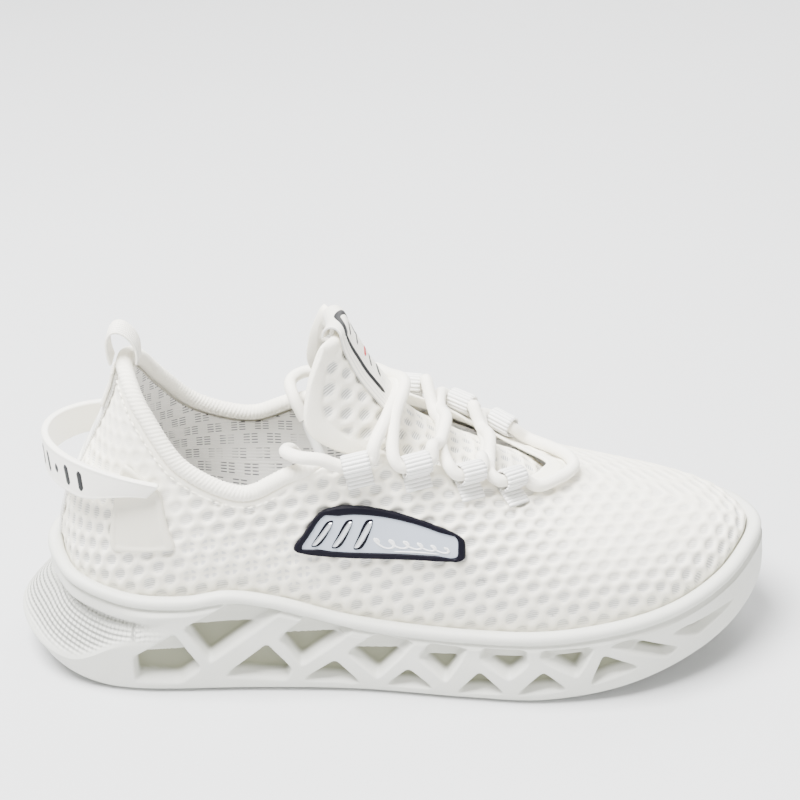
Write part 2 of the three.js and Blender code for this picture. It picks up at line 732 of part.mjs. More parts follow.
// The ribbon lies on the tongue's front, from the hinge line up, and goes over its top
function makeTongueRibbon() {
  const front = 12; // steps up the front, then round the top
  const over = 5;
  const foot = foldRow + 2 * foldGap;
  const face = (offset) => (a, b) => {
    const step = a * (front + over);
    const w = (b - 0.5) * tongueRibbonWidth;
    const row = foot + ((tongueTop - foot) * Math.min(step, front)) / front;
    const share = w / rowAt(tongueRows, row, 2);
    const p = onTongue(row, share, 0);
    const out = onTongue(row, share, 1).sub(p);
    if (step <= front) return p.addScaledVector(out, seatGap + offset);
    const middle = p.addScaledVector(out, -tongueThickness / 2);
    const turn = (Math.PI * (step - front)) / over;
    const end = onTongue(row, share, 0).sub(onTongue(row - foldGap, share, 0)).normalize();
    const radius = tongueThickness / 2 + seatGap + offset;
    middle.addScaledVector(out, radius * Math.cos(turn));
    return middle.addScaledVector(end, radius * Math.sin(turn));
  };
  const ribbon = sheetSolid(face(0), face(ribbonThickness), front + over, 4);
  add("tongue_ribbon", ribbon, colours.webbing, 0.85);
}

// Lace tabs: a webbing loop on the throat's edge with its tail down the upper
function tabFrame(index, side) {
  const t = side < 0 ? tabStations[index] : stations - tabStations[index];
  const { ahead } = skinFrame(t, 0.98);
  const edge = skin(t, 1);
  const rise = edge.clone().sub(skin(t, 0.84)).normalize(); // the tail lies along the wall under the edge
  const out = ahead.clone().cross(rise).normalize();
  ahead.crossVectors(rise, out);
  if (side > 0) ahead.negate(); // towards the toe on both sides
  const centre = edge.addScaledVector(rise, -tabDrop).addScaledVector(out, tabOuter + seatGap);
  return { centre, ahead, rise, out };
}

function makeTabs() {
  const profile = new THREE.Shape();
  const meet = Math.asin((tabWall - tabOuter) / tabOuter); // where the tail leaves the ring
  const steps = 12;
  profile.moveTo(tabTail, -tabOuter);
  profile.lineTo(tabTail, -tabOuter + tabWall);
  for (let i = 0; i <= steps; i++) {
    const angle = meet + (i / steps) * (1.5 * Math.PI - meet);
    profile.lineTo(tabOuter * Math.cos(angle), tabOuter * Math.sin(angle));
  }
  profile.closePath();
  const bore = new THREE.Path();
  bore.absarc(0, 0, tabBore, 0, Math.PI * 2, true);
  profile.holes.push(bore);
  const settings = { depth: tabWidth, bevelEnabled: false, curveSegments: 6 };
  const geometry = new THREE.ExtrudeGeometry(profile, settings);
  geometry.translate(0, 0, -tabWidth / 2);
  for (const [sideName, side] of [["lateral", -1], ["medial", 1]])
    tabStations.forEach((_, index) => {
      const { centre, ahead, rise, out } = tabFrame(index, side);
      const down = rise.clone().negate();
      const axis = down.clone().cross(out).normalize();
      const name = "lace_tab_" + sideName + "_" + (index + 1);
      const place = new THREE.Matrix4().makeBasis(down, out, axis).setPosition(centre);
      add(name, geometry, colours.webbing, 0.85).applyMatrix4(place);
    });
}

// One lace: a bar in front of the lowest tabs, then crossed strands up to the top tabs, with both ends
// round the tongue's edges and down inside
function strand(index, side, over) {
  const r = laceRadius;
  const lift = over ? [r + 2.5, 3 * r + 1, r + 2.5] : [r + 1.5, r + 0.4, r + 1.5];
  const reach = 0.44; // share of the tongue's half width where a strand's outer points stand
  return [0.3, 0.5, 0.7].map((share, i) => {
    const row = tabRows[index] + (tabRows[index - 1] - tabRows[index]) * share;
    return onTongue(row, side * reach * (1 - i), lift[i]);
  });
}

function laceHalf(side, over) {
  const points = [];
  const half = tabWidth / 2;
  const away = half + laceRun + laceLeave.forward;
  let at = side;
  for (let index = tabStations.length - 1; index >= 0; index--) {
    const { centre, ahead, rise } = tabFrame(index, at);
    const by = (forward, up) => {
      return centre.clone().addScaledVector(ahead, forward).addScaledVector(rise, up);
    };
    const lowest = index === tabStations.length - 1;
    if (!lowest) points.push(by(away, laceLeave.up));
    points.push(by(half + laceRun, 0), by(half + gap, 0), by(0, 0));
    points.push(by(-half - gap, 0), by(-half - laceRun, 0));
    if (index === 0) break;
    points.push(by(-away, laceLeave.up), ...strand(index, at, over));
    at = -at;
  }
  for (const [x, y, z] of laceTuck)
    points.push(new THREE.Vector3(x * lengthScale, at * y * widthScale, z * upperRise));
  return points;
}

function makeLace() {
  const first = laceHalf(-1, true);
  const second = laceHalf(1, false);
  const bar = barStations.map((t) => onSkin(t, 0.93, laceRadius + 0.5));
  const route = [...first.reverse(), ...bar, ...second];
  add("lace", tube(route, laceRadius, laceSides, 1), colours.webbing, 0.85);
  const tips = [["medial", route.slice(0, 2).reverse()], ["lateral", route.slice(-2)]];
  tips.forEach(([name, [before, end]]) => {
    const down = end.clone().sub(before).normalize();
    const aglet = new THREE.CylinderGeometry(agletRadius, agletRadius, agletLength, 10);
    const mesh = add("aglet_" + name, aglet, colours.foam, 0.3);
    mesh.quaternion.setFromUnitVectors(new THREE.Vector3(0, 1, 0), down);
    mesh.position.copy(end).addScaledVector(down, agletLength / 2 + gap);
  });
}

makeSole();
makePads();
makeInsoles();
makeUpper();
makeBinding();
makePullLoop();
makeStrap();
makeBadge();
makeTongue();
makeTongueRibbon();
makeTabs();
makeLace();

export default root;
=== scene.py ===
import math
import bmesh
import bpy
import numpy as np
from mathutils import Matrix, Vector


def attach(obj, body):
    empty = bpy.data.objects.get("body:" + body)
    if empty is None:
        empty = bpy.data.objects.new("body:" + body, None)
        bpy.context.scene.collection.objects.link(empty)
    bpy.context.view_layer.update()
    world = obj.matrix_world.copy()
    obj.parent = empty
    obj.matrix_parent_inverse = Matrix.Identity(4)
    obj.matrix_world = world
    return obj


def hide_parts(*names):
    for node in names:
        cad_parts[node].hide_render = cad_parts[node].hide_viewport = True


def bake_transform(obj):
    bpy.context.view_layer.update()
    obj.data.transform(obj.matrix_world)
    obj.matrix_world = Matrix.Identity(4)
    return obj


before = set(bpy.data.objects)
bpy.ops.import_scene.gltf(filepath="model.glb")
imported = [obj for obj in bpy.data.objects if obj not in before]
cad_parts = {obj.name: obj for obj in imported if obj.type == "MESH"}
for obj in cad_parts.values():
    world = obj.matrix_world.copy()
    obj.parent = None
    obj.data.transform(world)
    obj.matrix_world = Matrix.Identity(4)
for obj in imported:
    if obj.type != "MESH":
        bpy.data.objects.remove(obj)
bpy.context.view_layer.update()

mm = 0.001  # the shape functions below work in millimetres, meshes in metres


# shape of the shoe, the same tables as the solid model's
lateralPlan = [(-150, 0), (-143, -22), (-127, -36), (-100, -42.5), (-55, -43), (-15, -45),
               (25, -51), (55, -54), (88, -50.5), (116, -38.5), (137, -20.5), (150, 4)]
medialPlan = [(-143, 22), (-125, 36.5), (-95, 42), (-50, 37), (-10, 37.5),
              (30, 47), (65, 54), (100, 52), (128, 42), (144, 26)]
plan = np.array(lateralPlan + medialPlan[::-1], float)
stations = len(plan)  # numbered from the heel tip round the outer side
toe = len(lateralPlan) - 1
collarEnd = 5

# each pair is a place along the shoe and a height, or for the insets a distance in from the plan
beadHeights = [(-150, 49), (-136, 48.5), (-120, 46), (-100, 42.5), (-80, 42.5), (-64, 45), (-45, 42),
               (-20, 34.5), (5, 31.5), (55, 31.5), (85, 34), (110, 36.5), (130, 41), (143, 45), (150, 46)]
footHeights = [(-150, 32), (-100, 30), (-60, 27), (0, 21), (50, 20), (100, 23), (150, 29)]
flareHeights = [(-150, 19), (-128, 14), (-118, 17), (-100, 28), (-84, 37), (-60, 38)]
beadInsets = [(-150, 14), (-140, 12), (-127, 8), (-110, 5), (-85, 3), (-60, 2.5), (130, 2.5), (150, 3)]

# the opening's edge: x, y, z, then how far the knit leans out and up from the sole and out and down from the edge
lateralOpening = [(-103, 0, 121, 1, 22, 3, 18), (-101, -10, 118, 1, 22, 3, 18), (-95, -20, 108, 1, 20, 3, 17),
                  (-81, -28.5, 90.5, 2, 16, 2, 14), (-56, -31.5, 78.5, 2, 12, 2, 11), (-36, -30, 92, 3, 16, 3, 16),
                  (-12, -27.5, 97, 3, 20, 7, 18), (14, -25, 91, 2, 22, 13, 16), (38, -19.5, 80, 1, 20, 18, 11),
                  (52, -10.5, 76.5, 1, 16, 27, 13), (58, -4, 76.5, 1, 12, 36, 15), (60, 0, 76.5, 0, 10, 42, 16)]
# the dip of the collar, a little rounder than the part's own points give
lateralOpening[3:6] = [(-81, -28.5, 90, 2, 16, 2, 14), (-57, -31.5, 79.6, 2, 12, 2, 11),
                       (-36, -30, 88.5, 3, 16, 3, 15)]
medialOpening = [(x, -y, z, a, b, c, d) for x, y, z, a, b, c, d in lateralOpening[1:toe]]
for row, height in ((1, 106), (2, 89), (3, 81)):
    medialOpening[row] = medialOpening[row][:2] + (height,) + medialOpening[row][3:]
opening = np.array(lateralOpening + medialOpening[::-1], float)

# tongue, from the toe up: x, z, half width, and how far the sides curl back and down
tongueRows = np.array([(70, 60, 15, 1, 3), (56, 72.2, 17.5, 1, 3), (40, 80, 20, 3, 4.6), (22, 88, 22.5, 6, 4.6),
                       (6, 100, 24, 13, 8.5), (-8, 118.5, 27.5, 22, 13.5), (-14, 129, 24, 17, 8),
                       (-19, 138, 18.5, 5, 1)], float)
tabStations = [5.87, 6.68, 7.42, 8.15]  # lace tabs, from the collar forward


def catmull(table, t, closed=False):
    n = len(table)
    t = np.asarray(t, float)
    i = np.floor(t).astype(int)
    if not closed:
        i = np.clip(i, 0, n - 2)
    f = (t - i)[..., None]
    p0, p1, p2, p3 = (table[(i + k) % n] if closed else table[np.clip(i + k, 0, n - 1)] for k in (-1, 0, 1, 2))
    squared, cubed = 2 * p0 - 5 * p1 + 4 * p2 - p3, 3 * p1 - p0 - 3 * p2 + p3
    return 0.5 * (2 * p1 + (p2 - p0) * f + squared * f**2 + cubed * f**3)


def along(table, x):
    # a smooth curve through the table's pairs, read at x
    table = np.array(table, float)
    xs, ys = table[:, 0], table[:, 1]
    last = len(xs) - 1
    index = np.arange(last + 1)
    low, high = np.clip(index - 1, 0, last), np.clip(index + 1, 0, last)
    slope = (ys[high] - ys[low]) / (xs[high] - xs[low])
    x = np.clip(x, xs[0], xs[-1])
    k = np.clip(np.searchsorted(xs, x, side="right") - 1, 0, last - 1)
    h = xs[k + 1] - xs[k]
    f = (x - xs[k]) / h
    g = f * f * (3 - 2 * f)
    bend = slope[k] * (f - 2 * f * f + f**3) + slope[k + 1] * (f**3 - f * f)
    return ys[k] * (1 - g) + ys[k + 1] * g + bend * h


def smooth(low, high, x):
    f = np.clip((np.asarray(x, float) - low) / (high - low), 0, 1)
    return f * f * (3 - 2 * f)


def unit(a):
    return a / np.maximum(np.linalg.norm(a, axis=-1, keepdims=True), 1e-9)


def soleBottom(x):
    toeRise = 18 * np.clip((x - 50) / 100, 0, 1) ** 1.6
    heelRise = 15 * np.clip((-108 - x) / 42, 0, 1) ** 2
    return toeRise + heelRise


def beadTop(x): return along(beadHeights, x)
def footTop(x): return along(footHeights, x)
def beadInset(x): return along(beadInsets, x)
def cupInset(x): return beadInset(x) + 5


def outline(t):
    point = catmull(plan, t, True)
    step = catmull(plan, t + 0.02, True) - catmull(plan, t - 0.02, True)
    return point, unit(np.stack([step[..., 1], -step[..., 0]], -1))


def skin(t, v):
    # the upper's inner face: t runs round the shoe by stations, v from the sole (0) to the opening's edge (1)
    t, v = np.broadcast_arrays(np.asarray(t, float), np.asarray(v, float))
    point, out = outline(t)
    x = point[..., 0]
    foot = np.concatenate([point - out * (cupInset(x) + 0.3)[..., None], (beadTop(x) - 1.5)[..., None]], -1)
    q = catmull(opening, t, True)
    out3 = np.concatenate([out, np.zeros_like(x)[..., None]], -1)
    up = np.array([0, 0, 1.0])
    leave = foot + out3 * q[..., 3:4] + up * q[..., 4:5]
    top = q[..., :3]
    arrive = top + out3 * q[..., 5:6] - up * q[..., 6:7]
    f = np.clip(v, 0, None)[..., None]
    w = 1 - f
    body = foot * w**3 + leave * 3 * f * w * w + arrive * 3 * f * f * w + top * f**3
    skirt = foot + up * ((footTop(x) + 0.3 - foot[..., 2]) * np.clip(-v, 0, 1))[..., None]
    return np.where((v < 0)[..., None], skirt, body)


def skinFrame(t, v):
    v = np.asarray(v, float)
    ahead = unit(skin(t + 0.01, v) - skin(t - 0.01, v))
    low = np.where(v < 0, v, np.clip(v - 0.01, 0, None))
    rise = unit(skin(t, np.clip(v, 0, None) + 0.01) - skin(t, low))
    rise = np.where((v < 0)[..., None], np.array([0, 0, 1.0]), rise)
    out = unit(np.cross(ahead, rise))
    return ahead, np.cross(out, ahead), out


def onSkin(t, v, offset):
    return skin(t, v) + skinFrame(t, v)[2] * np.asarray(offset, float)[..., None]


def tongueFace(row, w):
    # the tongue's front: row counts up the table, w runs -1..1 across
    row, w = np.broadcast_arrays(np.asarray(row, float), np.asarray(w, float))
    q = catmull(tongueRows, row)
    return np.stack([q[..., 0] - q[..., 3] * w * w, q[..., 2] * w, q[..., 1] - q[..., 4] * w * w], -1)


def onTongue(row, w, offset):
    upward = tongueFace(np.asarray(row) + 0.01, w) - tongueFace(np.asarray(row) - 0.01, w)
    across = tongueFace(row, np.asarray(w) + 0.01) - tongueFace(row, np.asarray(w) - 0.01)
    return tongueFace(row, w) + unit(np.cross(across, upward)) * np.asarray(offset, float)[..., None]


def lengthAlong(path):
    return np.concatenate([[0], np.cumsum(np.linalg.norm(np.diff(path, axis=0), axis=1))])


def arcSpaced(curve, count, closed=False, fine=4000):
    # parameters of a curve (a function of numbers 0..1) that are equally far apart along it
    s = np.linspace(0, 1, fine)
    length = lengthAlong(curve(s))
    return np.interp(np.linspace(0, length[-1], count, endpoint=not closed), length, s)


def smoothPath(points, pitch):
    # centripetal Catmull-Rom through the points, at an even pitch
    p = [np.array(q, float) for q in points]
    p = [2 * p[0] - p[1]] + p + [2 * p[-1] - p[-2]]
    f = np.linspace(0, 1, 24, endpoint=False)[:, None]
    out = []
    for a, b, c, d in zip(p, p[1:], p[2:], p[3:]):
        t0, t1, t2 = (max(np.linalg.norm(n - m), 1e-6) ** 0.5 for m, n in ((a, b), (b, c), (c, d)))
        m1 = ((b - a) / t0 - (c - a) / (t0 + t1) + (c - b) / t1) * t1
        m2 = ((c - b) / t1 - (d - b) / (t1 + t2) + (d - c) / t2) * t1
        out.append(b + m1 * f + (3 * (c - b) - 2 * m1 - m2) * f**2 + (2 * (b - c) + m1 + m2) * f**3)
    path = np.concatenate(out + [p[-2][None]])
    length = lengthAlong(path)
    even = np.linspace(0, length[-1], max(int(length[-1] / pitch), 2))
    return np.stack([np.interp(even, length, path[:, k]) for k in range(3)], -1)


# meshes and nodes
def newPiece(name, points, faces, material, uv=None, values=None):
    mesh = bpy.data.meshes.new(name)
    mesh.from_pydata((np.asarray(points) * mm).tolist(), [], faces if isinstance(faces, list) else faces.tolist())
    if uv is not None:
        loops = np.zeros(len(mesh.loops), np.int32)
        mesh.loops.foreach_get("vertex_index", loops)
        layer = mesh.uv_layers.new(name="cloth")
        layer.data.foreach_set("uv", np.asarray(uv, np.float32)[loops].ravel())
    for key, data in (values or {}).items():
        mesh.attributes.new(key, "FLOAT", "POINT").data.foreach_set("value", np.asarray(data, np.float32).ravel())
    mesh.polygons.foreach_set("use_smooth", [True] * len(mesh.polygons))
    mesh.validate()
    piece = bpy.data.objects.new(name, mesh)
    bpy.context.scene.collection.objects.link(piece)
    mesh.materials.append(material)
    return piece


def dress(node, material):
    # a plain solid keeps its shape and only gets its material
    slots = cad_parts[node].data.materials
    slots.clear()
    slots.append(material)


def turnOutwards(piece, fillEnds=False):
    work = bmesh.new()
    work.from_mesh(piece.data)
    if fillEnds:
        bmesh.ops.holes_fill(work, edges=[e for e in work.edges if e.is_boundary], sides=0)
    bmesh.ops.recalc_face_normals(work, faces=work.faces)
    work.to_mesh(piece.data)
    work.free()


def ringStrips(count, stride, row):
    # closes a ring of points with strips straight across the shoe
    strips = []
    for i in range(count // 2):
        ring = [i, i + 1, (count - i - 1) % count, (count - i) % count]
        ring = list(dict.fromkeys(k * stride + row for k in ring))
        if len(ring) > 2:
            strips.append(ring)
    return strips


def gridFaces(nu, nv, closed, start=0, flip=False):
    i, j = np.meshgrid(np.arange(nu if closed else nu - 1), np.arange(nv - 1), indexing="ij")
    k = (i + 1) % nu
    quad = np.stack([i * nv + j, k * nv + j, k * nv + j + 1, i * nv + j + 1], -1).reshape(-1, 4) + start
    return quad[:, ::-1] if flip else quad


def sheetPiece(name, outer, material, inner=None, closed=False, uv=None, values=None):
    # outer and inner are grids of points. With an inner one the piece is a closed slab, turned to face outwards
    nu, nv = outer.shape[:2]
    points = outer.reshape(-1, 3)
    faces = [gridFaces(nu, nv, closed)]
    if inner is not None:
        base = nu * nv
        points = np.concatenate([points, inner.reshape(-1, 3)])
        faces.append(gridFaces(nu, nv, closed, base, True))
        i = np.arange(nu if closed else nu - 1)
        k = (i + 1) % nu
        for row, turn in ((0, 1), (nv - 1, -1)):
            near, far = i * nv + row, k * nv + row
            faces.append(np.stack([near, near + base, far + base, far], -1)[:, ::turn])
        if not closed:
            j = np.arange(nv - 1)
            for column, turn in ((0, 1), (nu - 1, -1)):
                near = column * nv + j
                faces.append(np.stack([near, near + 1, near + 1 + base, near + base], -1)[:, ::turn])
        uv = None if uv is None else np.concatenate([uv.reshape(-1, 2)] * 2)
        values = {key: np.concatenate([data.ravel()] * 2) for key, data in (values or {}).items()}
    elif uv is not None:
        uv = uv.reshape(-1, 2)
    faces = np.concatenate(faces)
    if inner is not None:
        a, b, c, d = (points[faces[:, k]] for k in range(4))
        volume = (a * np.cross(b, c)).sum() + (a * np.cross(c, d)).sum()
        if volume < 0:
            faces = faces[:, ::-1]
    return newPiece(name, points, faces, material, uv, values)


def addNode(tree, kind, links=None, **settings):
    made = tree.nodes.new(kind)
    for key, value in settings.items():
        setattr(made, key, value)
    for key, value in (links or {}).items():
        socket = made.inputs[key]
        if isinstance(value, bpy.types.NodeSocket):
            tree.links.new(value, socket)
        else:
            socket.default_value = value
    return made


def linear(hexColour):
    parts = [int(hexColour[k:k + 2], 16) / 255 for k in (0, 2, 4)]
    return tuple(p / 12.92 if p <= 0.04045 else ((p + 0.055) / 1.055) ** 2.4 for p in parts) + (1,)


def newMaterial(name, base, roughness, **more):
    # a material, its tree and its shader. What is the same all over is set on the shader's own sockets
    material = bpy.data.materials.new(name)
    material.use_nodes = True
    tree = material.node_tree
    shader = tree.nodes["Principled BSDF"]
    shader.inputs["Base Color"].default_value = linear(base)
    shader.inputs["Roughness"].default_value = roughness
    for key, value in more.items():
        shader.inputs[key].default_value = value
    return material, tree, shader


def calc(tree, operation, a, b=0.0, c=0.0):
    return addNode(tree, "ShaderNodeMath", {0: a, 1: b, 2: c}, operation=operation).outputs[0]


def mapRange(tree, value, low, high):
    # 0 at low, 1 at high, eased at both ends
    links = {"Value": value, "From Min": low, "From Max": high}
    return addNode(tree, "ShaderNodeMapRange", links, interpolation_type="SMOOTHSTEP").outputs["Result"]


def mixColour(tree, factor, a, b):
    made = addNode(tree, "ShaderNodeMix", {0: factor}, data_type="RGBA")
    for socket, value in ((made.inputs[6], a), (made.inputs[7], b)):
        if isinstance(value, bpy.types.NodeSocket):
            tree.links.new(value, socket)
        else:
            socket.default_value = value
    return made.outputs[2]


def noise(tree, scale, detail=2.0):
    here = addNode(tree, "ShaderNodeTexCoord").outputs["Object"]
    links = {"Scale": scale, "Detail": detail, "Distortion": 0.0, "Vector": here}
    return addNode(tree, "ShaderNodeTexNoise", links).outputs["Fac"]


def grainedMaterial(name, base, roughness, grain, depth, strength=0.4, detail=2.0, **more):
    # one colour with a fine grain: about so many grains to the metre, so many metres deep
    material, tree, shader = newMaterial(name, base, roughness, **more)
    bump(tree, shader, noise(tree, grain, detail), depth, strength)
    return material


def clothCoordinates(tree):
    uv = addNode(tree, "ShaderNodeUVMap", uv_map="cloth").outputs[0]
    return addNode(tree, "ShaderNodeSeparateXYZ", {0: uv}).outputs


def valueOf(tree, attribute):
    return addNode(tree, "ShaderNodeAttribute", attribute_name=attribute).outputs["Fac"]


def times(tree, *values):
    product = values[0]
    for value in values[1:]:
        product = calc(tree, "MULTIPLY", product, value)
    return product


def wave(tree, value, pitch, kind="SINE"):
    # swings once over the pitch
    return calc(tree, kind, calc(tree, "MULTIPLY", value, 2 * math.pi / pitch))


def bump(tree, shader, height, distance, strength=1.0, after=None):
    links = {"Height": height, "Distance": distance, "Strength": strength}
    if after:
        links["Normal"] = after
    made = addNode(tree, "ShaderNodeBump", links)
    tree.links.new(made.outputs[0], shader.inputs["Normal"])
    return made.outputs[0]


# materials
knitLook = {"pitchAlong": 7.8, "rowPitch": 6.1, "rise": 0.16, "hole": 2.35, "yarn": "F9F5E7", "shade": "BCBBB6"}


def makeKnit(name, look, shadeSpeckle=0.35):
    # polyester engineered knit: chalky white raised yarn round open cells, fine ribs of yarn across each cell
    material, tree, shader = newMaterial(name, look["yarn"], 0.85)
    cloth = clothCoordinates(tree)
    u = cloth[0]
    s = calc(tree, "MULTIPLY_ADD", u, -look["rise"], cloth[1])
    near = []
    for shift in (0.5, 0.0):  # the two sets of rows, half a pitch apart
        du = calc(tree, "FRACT", calc(tree, "MULTIPLY_ADD", u, 1 / look["pitchAlong"], shift))
        ds = calc(tree, "FRACT", calc(tree, "MULTIPLY_ADD", s, 0.5 / look["rowPitch"], shift))
        du = calc(tree, "MULTIPLY_ADD", du, look["pitchAlong"], -0.5 * look["pitchAlong"])
        ds = calc(tree, "MULTIPLY_ADD", ds, 2 * look["rowPitch"], -look["rowPitch"])
        near.append(calc(tree, "SQRT", calc(tree, "MULTIPLY_ADD", du, du, times(tree, ds, ds))))
    distance = calc(tree, "MINIMUM", near[0], near[1])
    wobble = calc(tree, "MULTIPLY_ADD", noise(tree, 420.0, 2.0), 1.2, -0.6)
    openShare, windowShare = valueOf(tree, "open"), valueOf(tree, "window")
    hole = mapRange(tree, calc(tree, "ADD", distance, wobble), look["hole"] + 0.55, look["hole"] - 0.75)
    hole = times(tree, hole, openShare)
    ribs = wave(tree, s, 0.85)
    # the open cells are painted grey as painted shade, and lighter on the ribs of yarn across them as painted highlight
    holeColour = mixColour(tree, mapRange(tree, ribs, -0.7, 0.8), linear(look["shade"]), linear("EAE9E4"))
    # dark specks of painted shade in the cells, standing in for the shaded inside seen through them
    paintedShadeSpecks = times(tree, mapRange(tree, noise(tree, 520.0, 1.0), 0.66, 0.72),
                   mapRange(tree, noise(tree, 60.0, 1.0), 0.5, 0.62), shadeSpeckle)
    holeColour = mixColour(tree, paintedShadeSpecks, holeColour, linear("55555A"))
    window = times(tree, windowShare, openShare)
    # shiny slits, two by two in each cell
    paneU = calc(tree, "ABSOLUTE", wave(tree, u, look["pitchAlong"]))
    paneS = calc(tree, "ABSOLUTE", wave(tree, s, look["rowPitch"]))
    pane = times(tree, mapRange(tree, paneU, 0.45, 0.62), mapRange(tree, paneS, 0.62, 0.75),
                 mapRange(tree, distance, look["hole"] + 0.6, look["hole"] - 0.1))
    shinyPane = times(tree, pane, window)
    hole = times(tree, hole, calc(tree, "SUBTRACT", 1.0, times(tree, window, 0.8)))
    colour = mixColour(tree, hole, linear(look["yarn"]), holeColour)
    colour = mixColour(tree, shinyPane, colour, linear("D2D1CE"))
    tree.links.new(colour, shader.inputs["Base Color"])
    tree.links.new(calc(tree, "MULTIPLY_ADD", shinyPane, -0.5, 0.85), shader.inputs["Roughness"])
    yarnLoops = times(tree, wave(tree, u, 1.1), ribs)  # drawn coarser than real, so that they show
    fine = calc(tree, "MULTIPLY_ADD", yarnLoops, 0.12, times(tree, hole, -0.9))
    bump(tree, shader, calc(tree, "ADD", fine, times(tree, noise(tree, 2600.0), 0.25)), 0.0004, 0.7)
    return material


# the tongue's mesh has smaller, squarer cells, with darker painted shade in them and more dark specks of painted shade
# showing through it
knit = makeKnit("whiteEngineeredKnit", knitLook)
tongueLook = {**knitLook, "pitchAlong": 7.4, "rowPitch": 5.4, "rise": 0.0, "hole": 2.0, "shade": "A9A9A5"}
tongueKnit = makeKnit("whiteTongueMesh", tongueLook, 0.6)


def makeFoam():
    # moulded EVA foam: off-white, satin skin with fine stipple, and painted shade, dark and greenish, on the deep
    # pockets' floors
    material, tree, shader = newMaterial("mouldedEvaFoam", "D2D3CA", 0.52, **{"Specular IOR Level": 0.4})
    depth, hatch = valueOf(tree, "pocket"), valueOf(tree, "hatch")
    tint = mixColour(tree, noise(tree, 60.0, 3.0), linear("CFD0C7"), linear("D9D9D3"))
    paintedFloorShade = mapRange(tree, depth, 0.45, 0.92)  # painted shade: only the pockets' floors are darker, their ramps stay bright
    tree.links.new(mixColour(tree, paintedFloorShade, tint, linear("74755F")), shader.inputs["Base Color"])
    cloth = clothCoordinates(tree)
    diagonals = [wave(tree, calc(tree, kind, cloth[0], cloth[1]), 4.2) for kind in ("ADD", "SUBTRACT")]
    waffle = times(tree, diagonals[0], diagonals[1], hatch)
    first = bump(tree, shader, waffle, 0.0009, 1.0)
    bump(tree, shader, noise(tree, 1500.0, 3.0), 0.0001, 0.35, first)
    return material


def makeWebbing(name, base, pitch, across="u", gloss=0.6, deep=0.0003):
    # woven polyester tape: raised ribs with a soft sheen along them
    material, tree, shader = newMaterial(name, base, gloss, **{"Sheen Weight": 0.25})
    cloth = clothCoordinates(tree)
    axis, other = (cloth[0], cloth[1]) if across == "u" else (cloth[1], cloth[0])
    rib = calc(tree, "ABSOLUTE", wave(tree, axis, 2 * pitch))
    thread = wave(tree, other, 0.7)
    # the grooves between the ribs are painted grey as painted shade, the rib tops keep the tape's own colour
    colour = mixColour(tree, mapRange(tree, rib, 0.0, 0.45), linear("C4C4BF"), linear(base))
    tree.links.new(colour, shader.inputs["Base Color"])
    bump(tree, shader, calc(tree, "MULTIPLY_ADD", thread, 0.12, rib), deep, 0.9)
    return material


def makeLiningKnit():
    # thin knit lining: grey-white, horizontal ribs, rows of dark slits in clusters
    look = {"bandHeight": 6.6, "bandShift": 4.8, "clusterPitch": 9.6, "ribPitch": 1.32}
    material, tree, shader = newMaterial("ribbedLiningMesh", "DAD8D3", 0.9)
    cloth = clothCoordinates(tree)
    band = calc(tree, "DIVIDE", cloth[1], look["bandHeight"])
    shift = times(tree, calc(tree, "FLOOR", band), look["bandShift"])
    inCluster = calc(tree, "FRACT", calc(tree, "DIVIDE", calc(tree, "ADD", cloth[0], shift), look["clusterPitch"]))
    fromMiddle, fromBand = (calc(tree, "ABSOLUTE", calc(tree, "SUBTRACT", part, 0.5))
                            for part in (inCluster, calc(tree, "FRACT", band)))
    cluster = times(tree, mapRange(tree, fromMiddle, 0.31, 0.28), mapRange(tree, fromBand, 0.38, 0.34))
    split = mapRange(tree, fromMiddle, 0.025, 0.055)
    ribs = wave(tree, cloth[1], look["ribPitch"], "COSINE")
    faded = mapRange(tree, noise(tree, 70.0, 2.0), 0.32, 0.5)
    slits = times(tree, times(tree, cluster, split), times(tree, mapRange(tree, ribs, 0.2, 0.55), faded))
    tree.links.new(mixColour(tree, slits, linear("E4E2DE"), linear("6E6E72")), shader.inputs["Base Color"])
    bump(tree, shader, calc(tree, "SUBTRACT", times(tree, ribs, -0.18), slits), 0.0003, 0.6)
    return material


foam = makeFoam()
liningKnit = makeLiningKnit()
# moulded rubber: matt, a little greyer than the foam
rubber = grainedMaterial("mouldedRubber", "CFD0C8", 0.6, 1200.0, 0.0001)
# soft thermoplastic: warm white, satin, a little light passes through
strapPlastic = grainedMaterial("softTpuStrap", "EFEDE5", 0.38, 700.0, 0.00005, **{
    "Subsurface Weight": 0.15, "Subsurface Radius": (0.004, 0.004, 0.003), "Coat Weight": 0.1})
# welded film: yellower, glossy, and the knit under it shows faintly
filmPlastic = grainedMaterial("weldedTpuFilm", "EDE9DA", 0.3, 400.0, 0.0001, **{"Alpha": 0.8, "Coat Weight": 0.2})
# the badge's border: near-black navy with hardly any gloss
navyPlastic = grainedMaterial("navyMouldedEdge", "070612", 0.55, 900.0, 0.00004, 0.3, **{"Specular IOR Level": 0.12})
# silvered plastic: bright, softly mirrored bars
silverPlastic = grainedMaterial("silveredPlastic", "D5D8DC", 0.3, 900.0, 0.00004, 0.3, Metallic=0.75)
# transfer prints and paint: flat colour, slightly raised, satin
blackInk = grainedMaterial("blackTransferPrint", "0C0C10", 0.5, 1800.0, 0.00003)
redInk = grainedMaterial("redTransferPrint", "B3101E", 0.5, 1800.0, 0.00003)
whitePaint = grainedMaterial("whiteRaisedPrint", "F2F2F2", 0.4, 1800.0, 0.00003)
# braided polyester cord: white, fibrous, with a soft sheen. Its plaits are real geometry
cordBraid = grainedMaterial("braidedPolyesterCord", "F8F4E8", 0.75, 2200.0, 0.0001, 0.5, 3.0, **{"Sheen Weight": 0.3})
